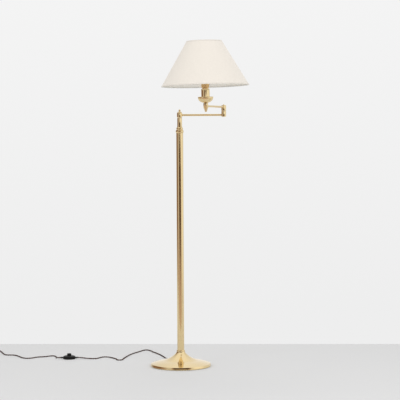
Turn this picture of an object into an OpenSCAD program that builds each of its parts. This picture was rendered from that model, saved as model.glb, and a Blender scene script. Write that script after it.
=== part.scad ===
// Bridge floor lamp in polished brass, with a double swing arm, a fabric shade and a foot switch.
// Millimetres, +Z up. The origin is on the floor, at the centre of the round base.
// The lower arm points along +X at rest, and the shade hangs out towards -Y.

/* [Base] */
// Diameter of the base over its rounded rim
base_d = 295; // [250:1:340]
// Height of the base cover's neck above the floor
base_h = 75; // [72:1:95]
// Height of the cover where its dome meets the rounded rim
rim_h = 14; // [13.5:0.5:17]
// Radius of the rim's rounded nose
nose_r = 5; // [4:0.5:5.5]
// Height of the rolled bead along the cover's lower edge
foot_bead_h = 4; // [3.4:0.2:4.6]
// Diameter of the circle where the cove under the neck meets the dome
saddle_d = 172; // [150:1:190]
// Height of the cover on that circle
saddle_h = 29; // [27:0.5:33]
// Outer diameter of the cover's neck
neck_d = 41; // [39:0.5:48]
// Sheet thickness of the spun base cover
cover_wall = 1.2; // [0.9:0.1:1.6]
// Thickness of the felt pad under the base
pad_h = 2; // [1.5:0.5:4]
// How far the felt pad stays inside the rim
pad_inset = 6; // [5:0.5:12]
// How far the iron weight stays inside the rim
weight_inset = 11.5; // [9.5:0.5:20]
// Thickness of the iron weight's plate
weight_h = 10; // [8.5:0.5:10.5]
// Width of the ridge on the weight that carries the cover
ridge_w = 8; // [4:0.5:12]
// Height of the weight's boss, which the column stands on
boss_h = 60; // [50:1:64]
// Depth of the recess under the weight that holds the nut
recess_h = 24; // [23:0.5:28]
// Radius of that recess
recess_r = 22; // [18:0.5:24]
// Direction in which the cord leaves the base, counted from +X
cord_exit_angle = 112; // [60:1:150]
// Height of the cord where it leaves the base
cord_exit_z = 9.2; // [9:0.1:9.6]

/* [Column] */
// Outer diameter of the column tube
column_d = 34; // [30:0.5:36]
// Wall of the column tube
column_wall = 1.2; // [0.8:0.1:2]
// Length of the column tube
column_len = 1079; // [700:1:1300]
// Height of the ring at the column's foot, above the cover's neck
foot_ring_h = 4; // [3:0.5:7]
// Thickness of the threaded plug in the column's foot
column_plug_h = 12; // [8:0.5:20]
// Diameter of the wide bead on top of the column
collar_d = 39; // [37:0.5:46]
// Height of that wide bead
collar_bead_h = 15; // [10:0.5:20]
// Diameter of the smaller bead above it
shoulder_d = 33; // [30:0.5:36]
// Height of that smaller bead, with its cove up to the neck
shoulder_h = 19; // [14:0.5:26]
// How far the collar's spigot reaches down into the column
spigot_h = 14; // [8:0.5:24]
// Diameter of the turned neck under the swing hub
spindle_neck_d = 23.6; // [20:0.2:27]
// Length of that neck
spindle_neck_h = 39; // [20:1:80]

/* [Swing arms] */
// Diameter of the swing hub on top of the neck
hub_d = 26; // [24:0.5:32]
// Height of the swing hub
hub_h = 27; // [22:0.5:34]
// Distance from the column's axis to the elbow's axis, and from there to the cup's axis
arm_reach = 215; // [170:1:260]
// Outer diameter of the two arm tubes
arm_d = 10; // [9:0.5:11.5]
// Wall of the arm tubes
arm_wall = 1; // [0.7:0.1:1.2]
// Angle between the two arms at rest
arm_fold = 65.8; // [40:0.1:120]
// Diameter of the elbow's two knuckles
knuckle_d = 23; // [22:0.5:28]
// Height of each knuckle
knuckle_h = 26.5; // [22:0.5:34]
// Distance from a knuckle's outer end to its arm's centre
arm_from_end = 7.5; // [7.5:0.5:10]
// Thickness of the friction washers
washer_h = 0.8; // [0.5:0.1:1.5]
// Diameter of the ball on top of the finial
finial_ball_d = 10; // [8:0.5:13]
// Diameter of the little ball on top of the elbow
elbow_ball_d = 4.8; // [4.4:0.2:7]

/* [Threaded rod] */
// Outer diameter of the hollow threaded rod, the spindle and the elbow pin
rod_d = 10; // [9.6:0.1:10.6]
// Bore of the hollow rod
rod_bore_d = 6.4; // [6.2:0.1:6.8]
// Diameter of the lead inside the lamp
lead_d = 5; // [4.4:0.1:5.2]
// Diameter of the stud that a finial screws on
stud_d = 4; // [3:0.2:4.4]

/* [Cup and lampholder] */
// How far the cup has been turned about its arm, off the upright
cup_lean = 1.4; // [0:0.1:3]
// Diameter of the cup's hub
cup_d = 23; // [20:0.5:26]
// Length of the hub above the arm's centre
cup_up = 14; // [9:0.5:18]
// Length of the hub below the arm's centre
cup_down = 8; // [7:0.5:12]
// Length of the turned drop under the hub
drop_h = 19.5; // [12:0.5:22]
// Diameter of the drip dish over its rolled rim
dish_d = 75; // [64:0.5:90]
// Depth of the drip dish
dish_h = 25; // [20:0.5:32]
// Sheet thickness of the dish, the sleeve and the lampholder
spun_wall = 1; // [0.8:0.1:1.4]
// Diameter of the sleeve that stands in the dish
sleeve_d = 40.4; // [39:0.2:44]
// Height of the sleeve's top above the hub's top
sleeve_top_h = 68; // [55:1:90]
// Diameter of the lampholder
holder_d = 38; // [37:0.2:40]
// Height of the groove under the lampholder
holder_foot_h = 4; // [3:0.5:6]
// Height of the lampholder's cap
holder_cap_h = 19.5; // [16:0.5:24]
// Height of the lampholder's threaded shell
holder_shell_h = 32; // [30:0.5:40]
// Outer diameter of the two shade rings
shade_ring_d = 54; // [50:1:60]
// Thickness of each shade ring
shade_ring_h = 5; // [4:0.5:7]
// Outer diameter of the bulb's screw cap
bulb_cap_d = 26.4; // [26.2:0.1:26.6]
// Diameter of the bulb's glass
bulb_d = 60; // [50:1:70]

/* [Shade] */
// Diameter of the shade's lower edge
shade_d = 416; // [360:1:460]
// Diameter of the shade's upper edge
shade_top_d = 167; // [140:1:200]
// Height of the shade
shade_h = 211.5; // [180:0.5:250]
// How far the shade reaches down below the shade rings
shade_drop = 26; // [16:0.5:32]
// Thickness of the stiff backing inside the shade
backing_wall = 0.6; // [0.5:0.1:1]
// Thickness of the fabric on the outside
fabric_wall = 0.5; // [0.4:0.1:0.8]
// Thickness of the shade's wire frame
wire_d = 3; // [2.6:0.1:3.4]
// Height of the tape that binds both edges
tape_h = 6; // [5:0.5:10]
// Thickness of that tape
tape_wall = 0.5; // [0.4:0.1:0.8]

/* [Foot switch] */
// Diameter of the foot switch
switch_d = 62; // [58:1:70]
// Height of the foot switch's cover
switch_h = 17.5; // [16.5:0.5:20]
// Thickness of the switch's base plate
switch_plate_h = 2.5; // [2:0.1:2.7]
// Wall of the switch's cover
switch_wall = 1.6; // [1.2:0.1:2]
// Diameter of the foot button
button_d = 22; // [20:0.5:24]
// Height of the button above the cover
button_up = 10.5; // [8:0.5:13]
// How far the button travels
button_travel = 3.5; // [2:0.5:4]
// Height of the cord where it enters the switch
switch_cord_z = 7; // [6.9:0.1:7.4]

/* [Cord and plug] */
// Diameter of the twisted cord
cord_d = 6; // [5:0.1:6.2]
// Length of the tapered sleeves that protect the cord
taper_len = 20; // [16:0.5:22]
// Distance between the plug's two pins
pin_spacing = 19; // [17:0.1:19.2]
// Diameter of the plug's pins
pin_d = 4; // [3.6:0.1:4.8]
// Length of the bare pins
pin_len = 19; // [15:0.5:22]
// Width of the plug's body
plug_w = 35; // [32:0.5:38]
// Thickness of the plug's body
plug_t = 13.7; // [12:0.1:14.5]
// Length of the plug's body
plug_len = 35; // [30:0.5:40]

/* [Fits] */
// Radial clearance of what turns
run_gap = 0.03; // [0.02:0.01:0.08]
// Radial clearance of what is screwed or pressed in
seat_gap = 0.05; // [0.02:0.01:0.1]
// Clearance between a turning piece's end faces and their neighbours
end_gap = 0.1; // [0.05:0.05:0.2]
// Clearance of loosely laid and sliding pieces
loose_gap = 0.25; // [0.2:0.05:0.3]

/* [Hidden] */
$fn = 96;

// Colours of the finishes
brass = [0.85, 0.68, 0.38];
dark_brass = [0.72, 0.52, 0.28];
iron = [0.2, 0.2, 0.21];
felt = [0.12, 0.13, 0.12];
black = [0.05, 0.05, 0.05];
ivory = [0.94, 0.91, 0.86];
backing_white = [0.96, 0.95, 0.92];
wire_white = [0.93, 0.93, 0.91];
flex_brown = [0.32, 0.24, 0.2];
steel = [0.75, 0.75, 0.76];
ceramic = [0.93, 0.91, 0.87];
copper = [0.78, 0.5, 0.34];
opal = [0.95, 0.95, 0.94];

// Radii that several pieces share
base_r = base_d / 2;
neck_r = neck_d / 2;
column_r = column_d / 2;
rod_r = rod_d / 2;
bore_r = rod_bore_d / 2;
lead_r = lead_d / 2;
stud_r = stud_d / 2;
arm_r = arm_d / 2;
hub_r = hub_d / 2;
knuckle_r = knuckle_d / 2;
cup_r = cup_d / 2;
cord_r = cord_d / 2;

// Base: levels and radii
recess_top = pad_h + recess_h;
boss_top = pad_h + boss_h;
boss_r = column_r;
weight_r = base_r - weight_inset;
plate_top = pad_h + weight_h;
edge_r = base_r - nose_r + nose_r * cos(67);
nose_z = rim_h - nose_r * sin(67);
foot_bead_r = foot_bead_h / 2;
foot_clear = 0.9;
nut_h = 5.4;
nut_flats = 14;
big_washer_h = 1.6;
big_washer_r = 15;
nipple_bottom = recess_top - big_washer_h - nut_h - 0.5;
lead_bend_r = 10;
channel_w = lead_d + 4;
bushing_r = 4;
bushing_flange_r = 5;
bushing_flange_h = 1.7;
taper_tip_r = cord_r + 0.7;
taper_bore_r = cord_r + 0.2;
exit_reach = base_r + 0.15 + bushing_flange_h + taper_len;
bushing_in = base_r - 8;

// Column and swing hub: levels
column_top = boss_top + column_len;
shoulder_z = column_top + collar_bead_h;
collar_top = shoulder_z + shoulder_h;
neck_top = collar_top + spindle_neck_h;
hub_z = neck_top + washer_h + 2 * end_gap;
hub_top = hub_z + hub_h;
lower_arm_z = hub_z + hub_h / 2;
stud_len = 7;
elbow_stud_r = stud_r * 0.7;
elbow_stud_len = 3;
chamber_half_h = lead_r + 1.8;
hub_chamber_r = rod_r + 4;
knuckle_chamber_r = rod_r + 3;
cross_hole_r = lead_r + 0.3;
stub_reach = rod_r + 1.4;

// Elbow: levels
lower_knuckle_z = lower_arm_z - arm_from_end;
upper_knuckle_z = lower_knuckle_z + knuckle_h + washer_h + 2 * end_gap;
upper_knuckle_top = upper_knuckle_z + knuckle_h;
upper_arm_z = upper_knuckle_top - arm_from_end;
arm_heading = 180 + arm_fold;
cup_x = arm_reach + arm_reach * cos(arm_heading);
cup_y = arm_reach * sin(arm_heading);

// Cup, in its own frame: the arm's centre is z = 0 and the elbow lies towards -X
dish_z = cup_up + end_gap;
dish_r = dish_d / 2;
dish_bead_r = 1.2;
bowl_r = dish_r - dish_bead_r;
sleeve_r = sleeve_d / 2;
sleeve_top = cup_up + sleeve_top_h;
holder_r = holder_d / 2;
holder_foot_r = 14.5;
holder_z = sleeve_top + holder_foot_h + end_gap;
holder_cap_top = holder_z + holder_cap_h;
holder_top = holder_cap_top + holder_shell_h;
thread_ridge = 0.8;
thread_pitch = 3;
insert_r = holder_r - spun_wall - loose_gap - 0.8;
insert_h = holder_cap_h - 1;
socket_r = bulb_cap_d / 2 + loose_gap;
socket_z = holder_z + spun_wall + insert_h;
socket_h = 26;
cap_z = socket_z + 3.4;
cap_h = 24;
glass_z = cap_z + cap_h;
glass_wall = 0.9;
ring_gap = 2 * end_gap + wire_d / 2;
lower_ring_z = holder_cap_top + 11;
fitter_z = lower_ring_z + shade_ring_h + end_gap;
fitter_h = wire_d / 2;
upper_ring_z = lower_ring_z + shade_ring_h + ring_gap;
nipple_down = 5.5;
nipple_top = holder_z + spun_wall + 2.4;

// Shade, in the cup's frame
shade_z = fitter_z - shade_drop;
shade_top = shade_z + shade_h;
shade_slope = (shade_d - shade_top_d) / 2 / shade_h;
shade_angle = atan(shade_slope);
skin_across = 1 / cos(shade_angle);
backing_across = backing_wall * skin_across;
fabric_across = fabric_wall * skin_across;
tape_across = tape_wall * skin_across;
fitter_arms = 3;
fitter_plate_r = shade_ring_d / 2 - 2;
fitter_tab = 7;
fitter_turn = 30;

// Foot switch
switch_pos = [-569.5, 238, 0];
switch_r = switch_d / 2;
button_r = button_d / 2;
button_flange_r = button_r + 1.8;
button_flange_h = 2;
button_wall = 2;
switch_inner_top = switch_h - switch_wall;
button_flange_top = switch_inner_top - end_gap;
button_top = switch_h + button_up;
block_top = button_flange_top - button_flange_h - button_travel - 0.4;
block_len = switch_d - 17;
block_w = 19;
gland_r = cord_r + 1.1;
gland_in = 9;
gland_out = 14;
gland_x = switch_r - 1.5;
screw_r = 1.5;
screw_head_r = 2.7;
screw_head_h = 1.6;
screw_y = switch_r - 10;

// Coil of the cord that is put away
coil_pos = [-1012, 500];
coil_mean_d = 66;
coil_turns = 4.25;
coil_pitch = cord_d + 0.6;
coil_start = 90;
coil_lift = 1;
coil_steps = 24;
coil_sides = 6;
tie_wall = 0.8;
tie_w = 9;
tie_angle = 300;
coil_sweep = 360 * coil_turns;
coil_mid = coil_start + coil_sweep / 2;
coil_inner_r = coil_mean_d / 2 - coil_pitch * coil_turns / 4;
coil_outer_r = coil_inner_r + coil_pitch * coil_turns / 2;
coil_low_z = coil_lift + cord_r;
coil_high_z = coil_low_z + coil_pitch;

// Plug, beside the coil
plug_x = coil_pos[0] - coil_outer_r;
plug_z = plug_t / 2;
plug_taper_y = coil_pos[1] - 45;
plug_y = plug_taper_y - taper_len;
pin_step = 0.5;
pin_shank = 9;

// Routes of the cord on the floor, chosen by hand. Heights are to the cord's centre.
lying = cord_r + 0.1;
cord_sides = 10;
exit_dir = [cos(cord_exit_angle), sin(cord_exit_angle), 0];
exit_point = exit_dir * exit_reach + [0, 0, cord_exit_z];
switch_right = switch_pos + [gland_x + gland_out, 0, switch_cord_z];
switch_left = switch_pos + [-gland_x - gland_out, 0, switch_cord_z];
coil_in = [coil_pos[0] + cord_d, coil_pos[1] + coil_outer_r, coil_low_z];
coil_out = [coil_pos[0] - coil_outer_r, coil_pos[1] - cord_d, coil_high_z];
cord_start = exit_dir * bushing_in + [0, 0, cord_exit_z];
switch_in = [block_len / 2 + 0.3, 0, switch_cord_z];
switch_out = [-block_len / 2 - 0.3, 0, switch_cord_z];
route_to_switch = concat([cord_start, exit_point, exit_point + 14 * exit_dir], [
    [-73, 193, 6], [-79, 222, 3.4], [-90, 268, lying], [-108, 332, lying], [-131, 392, lying],
    [-152, 443, lying], [-158.3, 463.1, lying], [-172.5, 492.9, lying], [-181.3, 506.3, lying],
    [-194.5, 507.2, lying], [-205.4, 494.7, lying], [-211, 480.2, lying], [-229, 440, lying],
    [-251, 394, lying], [-270, 336, lying], [-284, 272, lying], [-293, 220, lying],
    [-295.7, 197.4, lying], [-296.4, 186.4, lying], [-305.6, 174.8, lying], [-317, 174.1, lying],
    [-325.5, 183.5, lying], [-325.9, 201.4, lying], [-338, 224, lying], [-352, 248, lying],
    [-368, 267, lying], [-386, 276, lying], [-402, 274, lying], [-414, 258, lying],
    [-424, 237, lying], [-438, 223, lying], [-456, 223, lying], [-475, 230, 3.3], [-496, 236, 4.8]
], [switch_right + [8, 0, 0], switch_right, switch_pos + switch_in]);
route_to_coil = concat([switch_pos + switch_out, switch_left, switch_left + [-8, 0, 0]], [
    [-635, 248, 6], [-638, 271, 4], [-644, 298, lying], [-656, 317, lying], [-674, 318, lying],
    [-689, 304, lying], [-706, 292, lying], [-724, 287, lying], [-740, 279, lying],
    [-753, 262, lying], [-768, 248, lying], [-785, 243, lying], [-802, 253, lying],
    [-817, 274, lying], [-831, 302, lying], [-845, 328, lying], [-861, 347, lying],
    [-880, 355, lying], [-899, 356, lying], [-914, 370, lying], [-925, 400, lying],
    [-936, 434, lying], [-947, 470, lying], [-959, 503, lying], [-972, 526, 3.3], [-986, 537, 3.8]
], [coil_in + [12, 0, 0], coil_in]);
route_to_plug = [
    coil_out, coil_out + [0, -8, 0], [plug_x, plug_taper_y + 10, plug_z + 0.8], [plug_x, plug_taper_y, plug_z]
];

// ---- Curves -------------------------------------------------------------------------------------

function arc(cx, cy, r, from, to, n) =
    [for (i = [0 : n]) let (a = from + (to - from) * i / n) [cx + r * cos(a), cy + r * sin(a)]];

function bend(a, b, c, t) = (1 - t) * (1 - t) * a + 2 * t * (1 - t) * b + t * t * c;

function cubic(a, b, c, d, n) = [
    for (i = [0 : n]) let (t = i / n, s = 1 - t)
        s * s * s * a + 3 * s * s * t * b + 3 * s * t * t * c + t * t * t * d
];

function unit(v) = v / norm(v);

function reversed(line) = [for (i = [len(line) - 1 : -1 : 0]) line[i]];

// The line shifted to its right-hand side by a sheet's thickness
function beside(line, wall) = [
    for (i = [0 : len(line) - 1])
        let (along = unit(line[min(i + 1, len(line) - 1)] - line[max(i - 1, 0)]))
            line[i] + wall * [along[1], -along[0]]
];

// A point of the smooth curve through all the points of a route, at u from 0 to the number of spans
function route_at(p, u) =
    let (
        k = min(floor(u), len(p) - 2),
        t = u - k,
        b = p[k],
        c = p[k + 1],
        a = k > 0 ? p[k - 1] : 2 * b - c,
        d = k < len(p) - 2 ? p[k + 2] : 2 * c - b
    )
    b + 0.5 * t * ((c - a) + t * ((2 * a - 5 * b + 4 * c - d) + t * (3 * b - a - 3 * c + d)));

function route_points(p, rings) = [for (i = [0 : rings - 1]) route_at(p, i * (len(p) - 1) / (rings - 1))];

function line_length(p) = len(p) < 2 ? 0 : [for (i = 0, s = 0; i < len(p); i = i + 1,
    s = s + (i < len(p) ? norm(p[i] - p[i - 1]) : 0)) s][len(p) - 1];

// Height of the cover's dome outside the saddle circle
function dome_z(r) =
    let (from = saddle_d / 2, t = (r - from) / (edge_r - from))
    bend(saddle_h, saddle_h - (edge_r - from) / 2 * tan(10), rim_h, t);

// Height of the inner side of the drip dish at a radius
function dish_inner_z(r) =
    dish_z + dish_h - (dish_h - spun_wall) * sqrt(1 - pow(r / (bowl_r - spun_wall), 2));

// Half the shade's width on its outside, at a height in the cup's frame
function shade_r(z) = shade_d / 2 - (z - shade_z) * shade_slope;

// The coil's centre line: in along the lower layer, up in the half turn around its middle, out again
function coil_r(a) = coil_inner_r + coil_pitch * abs(a - coil_mid) / 360;

function coil_point(a) =
    let (
        past = a - coil_mid,
        r = coil_r(a),
        rise = past < -90 ? 0 : past > 90 ? 1 : (1 - cos(past + 90)) / 2
    )
    [coil_pos[0] + r * cos(a), coil_pos[1] + r * sin(a), coil_low_z + rise * (coil_high_z - coil_low_z)];

coil_rings = round(coil_turns * coil_steps);
coil_line = [for (i = [0 : coil_rings]) coil_point(coil_start + coil_sweep * i / coil_rings)];
coil_gaps = [
    for (i = [0 : coil_rings], j = [i + coil_steps / 2 : 1 : coil_rings]) norm(coil_line[i] - coil_line[j])
];
echo(least_gap_in_coil = min(coil_gaps) - cord_d);
echo(cord_lengths = [
    line_length(route_points(route_to_switch, 200)), line_length(route_points(route_to_coil, 200)),
    line_length(coil_line) + 2 * cord_d, line_length(route_points(route_to_plug, 40))
]);

// ---- Shared shapes ------------------------------------------------------------------------------

// A tube swept along a line that never stands upright
module swept_tube(line, r, sides) {
    count = len(line);
    rings = [
        for (i = [0 : count - 1])
            let (
                along = unit(line[min(i + 1, count - 1)] - line[max(i - 1, 0)]),
                side = unit(cross(along, [0, 0, 1])),
                up = cross(side, along)
            )
            for (k = [0 : sides - 1]) line[i] + r * (cos(360 * k / sides) * side + sin(360 * k / sides) * up)
    ];
    walls = [
        for (i = [0 : count - 2], k = [0 : sides - 1])
            let (a = i * sides + k, b = i * sides + (k + 1) % sides)
                for (face = [[a, a + sides, b], [b, a + sides, b + sides]]) face
    ];
    caps = [
        for (k = [1 : sides - 2], last = [0, 1])
            let (o = last * (count - 1) * sides)
                last == 0 ? [o, o + k, o + k + 1] : [o, o + k + 1, o + k]
    ];
    polyhedron(points = rings, faces = concat(walls, caps));
}

module tube(r, wall, h) {
    difference() {
        cylinder(r = r, h = h);
        translate([0, 0, -1]) cylinder(r = r - wall, h = h + 2);
    }
}

module washer(r, hole_r, h) {
    difference() {
        cylinder(r = r, h = h);
        translate([0, 0, -1]) cylinder(r = hole_r, h = h + 2);
    }
}

// A rod along +X, between two distances from the axis
module rod_x(r, from, to) {
    translate([from, 0, 0]) rotate([0, 90, 0]) cylinder(r = r, h = to - from);
}

// A barrel with rounded ends, standing on z = 0
module barrel(r, h, round_r) {
    rotate_extrude() polygon(concat(
        [[0, 0]], arc(r - round_r, round_r, round_r, -90, 0, 8),
        arc(r - round_r, h - round_r, round_r, 0, 90, 8), [[0, h]]
    ));
}

// A domed flange with a ball on it, and a threaded hole for the stud below
module ball_finial(flange_r, flange_h, ball_r) {
    waist_r = ball_r * 0.62;
    ball_z = flange_h + 1 + ball_r * 0.8;
    difference() {
        rotate_extrude() polygon(concat(
            [[0, 0], [flange_r, 0]],
            [for (t = [0 : 0.125 : 1])
                bend([flange_r, 0.6], [flange_r * 0.92, flange_h], [waist_r, flange_h], t)],
            [[waist_r, flange_h + 1]],
            arc(0, ball_z, ball_r, -52, 90, 14)
        ));
        translate([0, 0, -1]) cylinder(r = stud_r + seat_gap, h = stud_len + 1.5);
    }
}

// A tapered sleeve for the cord along +X from the origin, with its bore
module cord_taper(root_r, len) {
    difference() {
        rotate([0, 90, 0]) cylinder(r1 = root_r, r2 = taper_tip_r, h = len);
        rod_x(taper_bore_r, -1, len + 1);
    }
}

module at_exit() {
    rotate([0, 0, cord_exit_angle]) translate([0, 0, cord_exit_z]) children();
}

module at_elbow() {
    translate([arm_reach, 0, 0]) children();
}

// The upper arm's own direction, from the elbow's axis
module along_upper_arm() {
    at_elbow() rotate([0, 0, arm_heading]) children();
}

module in_cup() {
    translate([cup_x, cup_y, upper_arm_z]) rotate([0, 0, arm_heading]) rotate([cup_lean, 0, 0]) children();
}

module in_switch() {
    translate(switch_pos) children();
}

// ---- Base ---------------------------------------------------------------------------------------

module base_pad() {
    color(felt) cylinder(r = base_r - pad_inset, h = pad_h);
}

module base_cover() {
    neck_straight = 4;
    outline = concat(
        [[neck_r, base_h]],
        cubic(
            [neck_r, base_h - neck_straight],
            [neck_r + 2.5, base_h - neck_straight - 10],
            [saddle_d / 2 - 38, saddle_h + 38 * tan(14)],
            [saddle_d / 2, saddle_h], 22
        ),
        [for (i = [1 : 12]) let (r = saddle_d / 2 + (edge_r - saddle_d / 2) * i / 12) [r, dome_z(r)]],
        arc(base_r - nose_r, nose_z, nose_r, 58, 0, 8),
        [[base_r, foot_clear + foot_bead_h + 1.4], [base_r - 0.9, foot_clear + foot_bead_h + 0.5]],
        arc(base_r - foot_bead_r, foot_clear + foot_bead_r, foot_bead_r, 50, -90, 9)
    );
    color(brass) difference() {
        rotate_extrude() polygon(concat(outline, reversed(beside(outline, cover_wall))));
        at_exit() rod_x(bushing_r + seat_gap, base_r - 12, base_r + 5);
    }
}

module base_weight() {
    ridge_top = dome_z(weight_r) - cover_wall - 0.6;
    color(iron) difference() {
        rotate_extrude() polygon(concat(
            [
                [recess_r, pad_h], [weight_r, pad_h], [weight_r, ridge_top], [weight_r - ridge_w, ridge_top],
                [weight_r - ridge_w - 1, plate_top]
            ],
            cubic(
                [boss_r + 26, plate_top], [boss_r + 12, plate_top],
                [boss_r + 3, recess_top + 4], [boss_r, boss_top - 8], 8
            ),
            [
                [boss_r, boss_top], [rod_r + 0.3, boss_top], [rod_r + 0.3, recess_top], [recess_r, recess_top]
            ]
        ));
        rotate([0, 0, cord_exit_angle]) translate([0, -channel_w / 2, pad_h - 1])
            cube([base_r, channel_w, cord_exit_z + lead_r + 1 - pad_h + 0.6]);
    }
}

module base_nipple() {
    color(dark_brass) translate([0, 0, nipple_bottom])
        tube(rod_r, rod_r - bore_r, boss_top + column_plug_h + 3 - nipple_bottom);
}

module base_washer() {
    color(steel) translate([0, 0, recess_top - big_washer_h])
        washer(big_washer_r, rod_r + 0.2, big_washer_h);
}

module base_nut() {
    color(dark_brass) translate([0, 0, recess_top - big_washer_h - nut_h]) difference() {
        cylinder(r = nut_flats / 2 / cos(30), h = nut_h, $fn = 6);
        translate([0, 0, -1]) cylinder(r = rod_r + seat_gap, h = nut_h + 2);
    }
}

module base_bushing() {
    flange_x = base_r + 0.15;
    color(black) at_exit() {
        difference() {
            union() {
                rod_x(bushing_r, bushing_in, flange_x + 0.5);
                rod_x(bushing_flange_r, flange_x, flange_x + bushing_flange_h);
            }
            rod_x(taper_bore_r, base_r - 9, flange_x + bushing_flange_h + 1);
        }
        translate([flange_x + bushing_flange_h, 0, 0]) cord_taper(cord_r + 1.5, taper_len);
    }
}

// ---- Column -------------------------------------------------------------------------------------

module foot_ring() {
    sink = 10;
    ring_r = neck_r - cover_wall - seat_gap;
    hole_r = column_r + seat_gap;
    color(brass) rotate_extrude() polygon(concat(
        [
            [hole_r, base_h - sink], [ring_r, base_h - sink],
            [ring_r, base_h + seat_gap], [neck_r - 0.3, base_h + seat_gap]
        ],
        arc(neck_r + 0.4 - foot_ring_h / 2, base_h + foot_ring_h / 2, foot_ring_h / 2, -50, 90, 10),
        [[hole_r, base_h + foot_ring_h]]
    ));
}

module column_plug() {
    color(steel) translate([0, 0, boss_top])
        washer(column_r - column_wall - seat_gap, rod_r + seat_gap, column_plug_h);
}

module column_tube() {
    color(brass) translate([0, 0, boss_top]) tube(column_r, column_wall, column_len);
}

module column_collar() {
    bead_r = collar_d / 2;
    small_r = shoulder_d / 2;
    spigot_r = column_r - column_wall - seat_gap;
    groove_r = small_r - 1.6;
    neck_end = spindle_neck_d / 2;
    round_h = shoulder_h * 0.62;
    hole_r = rod_r + seat_gap;
    bead = [for (t = [0 : 0.0625 : 1]) [
        column_r + 0.6 + (bead_r - column_r - 0.6) * sin(180 * t), column_top + collar_bead_h * t
    ]];
    small_bead = [for (t = [0 : 0.0625 : 1]) [
        groove_r + (small_r - groove_r) * sin(180 * t), shoulder_z + 0.8 + (round_h - 0.8) * t
    ]];
    cove = [for (t = [0.125 : 0.125 : 1]) bend(
        [groove_r, shoulder_z + round_h],
        [neck_end + 0.5, shoulder_z + round_h + 1],
        [neck_end + 0.2, collar_top], t
    )];
    color(brass) rotate_extrude() polygon(concat(
        [[hole_r, column_top - spigot_h], [spigot_r, column_top - spigot_h], [spigot_r, column_top]],
        bead, [[groove_r, shoulder_z + 0.8]], small_bead, cove, [[hole_r, collar_top]]
    ));
}

module column_neck() {
    color(brass) translate([0, 0, collar_top]) difference() {
        barrel(spindle_neck_d / 2, spindle_neck_h, 0.8);
        translate([0, 0, -1]) cylinder(r = rod_r + seat_gap, h = spindle_neck_h + 2);
    }
}

// The lead from the cord's bushing, through the weight, up the column and out into the swing hub
module column_lead() {
    color(flex_brown) {
        at_exit() rod_x(lead_r, lead_bend_r, bushing_in - 0.2);
        rotate([0, 0, cord_exit_angle]) translate([lead_bend_r, 0, cord_exit_z + lead_bend_r])
            rotate([90, 0, 0]) rotate([0, 0, 180]) rotate_extrude(angle = 90)
                translate([lead_bend_r, 0]) circle(r = lead_r);
        translate([0, 0, cord_exit_z + lead_bend_r])
            cylinder(r = lead_r, h = lower_arm_z - cord_exit_z - lead_bend_r);
        translate([0, 0, lower_arm_z]) {
            sphere(r = lead_r);
            rod_x(lead_r, 0, stub_reach);
        }
    }
}

module pivot_spindle() {
    bottom = column_top - spigot_h - 3;
    color(dark_brass) difference() {
        union() {
            translate([0, 0, bottom]) cylinder(r = rod_r, h = hub_top - bottom);
            translate([0, 0, hub_top]) cylinder(r = stud_r, h = stud_len);
        }
        translate([0, 0, bottom - 1]) cylinder(r = bore_r, h = lower_arm_z + bore_r + 2 - bottom);
        translate([0, 0, lower_arm_z]) rod_x(cross_hole_r, 0, rod_r + 1);
    }
}

module pivot_washer() {
    color(ceramic) translate([0, 0, neck_top + end_gap])
        washer(spindle_neck_d / 2 - 0.8, rod_r + seat_gap, washer_h);
}

module finial() {
    color(brass) translate([0, 0, hub_top + end_gap])
        ball_finial(hub_r - 3.2, 4, finial_ball_d / 2);
}

// ---- Lower arm ----------------------------------------------------------------------------------

module swing_hub() {
    color(brass) difference() {
        translate([0, 0, hub_z]) barrel(hub_r, hub_h, 5);
        translate([0, 0, hub_z - 1]) cylinder(r = rod_r + run_gap, h = hub_h + 2);
        translate([0, 0, lower_arm_z - chamber_half_h]) cylinder(r = hub_chamber_r, h = 2 * chamber_half_h);
        translate([0, 0, lower_arm_z]) rod_x(arm_r + seat_gap, hub_chamber_r - 0.5, hub_r + 1);
    }
}

module lower_arm_tube() {
    from = hub_chamber_r + 0.2;
    color(brass) translate([from, 0, lower_arm_z]) rotate([0, 90, 0])
        tube(arm_r, arm_wall, arm_reach - rod_r - 0.3 - from);
}

module lower_arm_lead() {
    color(flex_brown) {
        translate([0, 0, lower_arm_z]) rod_x(lead_r, stub_reach + 0.4, arm_reach);
        at_elbow() {
            translate([0, 0, lower_arm_z]) {
                sphere(r = lead_r);
                cylinder(r = lead_r, h = upper_arm_z - lower_arm_z);
            }
            rotate([0, 0, arm_heading]) translate([0, 0, upper_arm_z]) {
                sphere(r = lead_r);
                rod_x(lead_r, 0, stub_reach);
            }
        }
    }
}

module lower_knuckle() {
    color(brass) difference() {
        at_elbow() translate([0, 0, lower_knuckle_z]) barrel(knuckle_r, knuckle_h, 1.2);
        at_elbow() translate([0, 0, lower_knuckle_z - 1]) cylinder(r = rod_r + seat_gap, h = knuckle_h + 2);
        translate([0, 0, lower_arm_z]) rod_x(arm_r + seat_gap, arm_reach - knuckle_r - 1, arm_reach);
    }
}

module knuckle_cap() {
    cap_r = knuckle_r - 1.6;
    plug_h = 3;
    color(brass) at_elbow() translate([0, 0, lower_knuckle_z]) {
        cylinder(r = rod_r - seat_gap, h = plug_h);
        rotate([180, 0, 0]) rotate_extrude() polygon(concat(
            [[0, 0], [cap_r, 0]],
            [for (t = [0.125 : 0.125 : 1]) bend([cap_r, 0.4], [cap_r * 0.8, 2.2], [0, 2.4], t)]
        ));
    }
}

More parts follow.
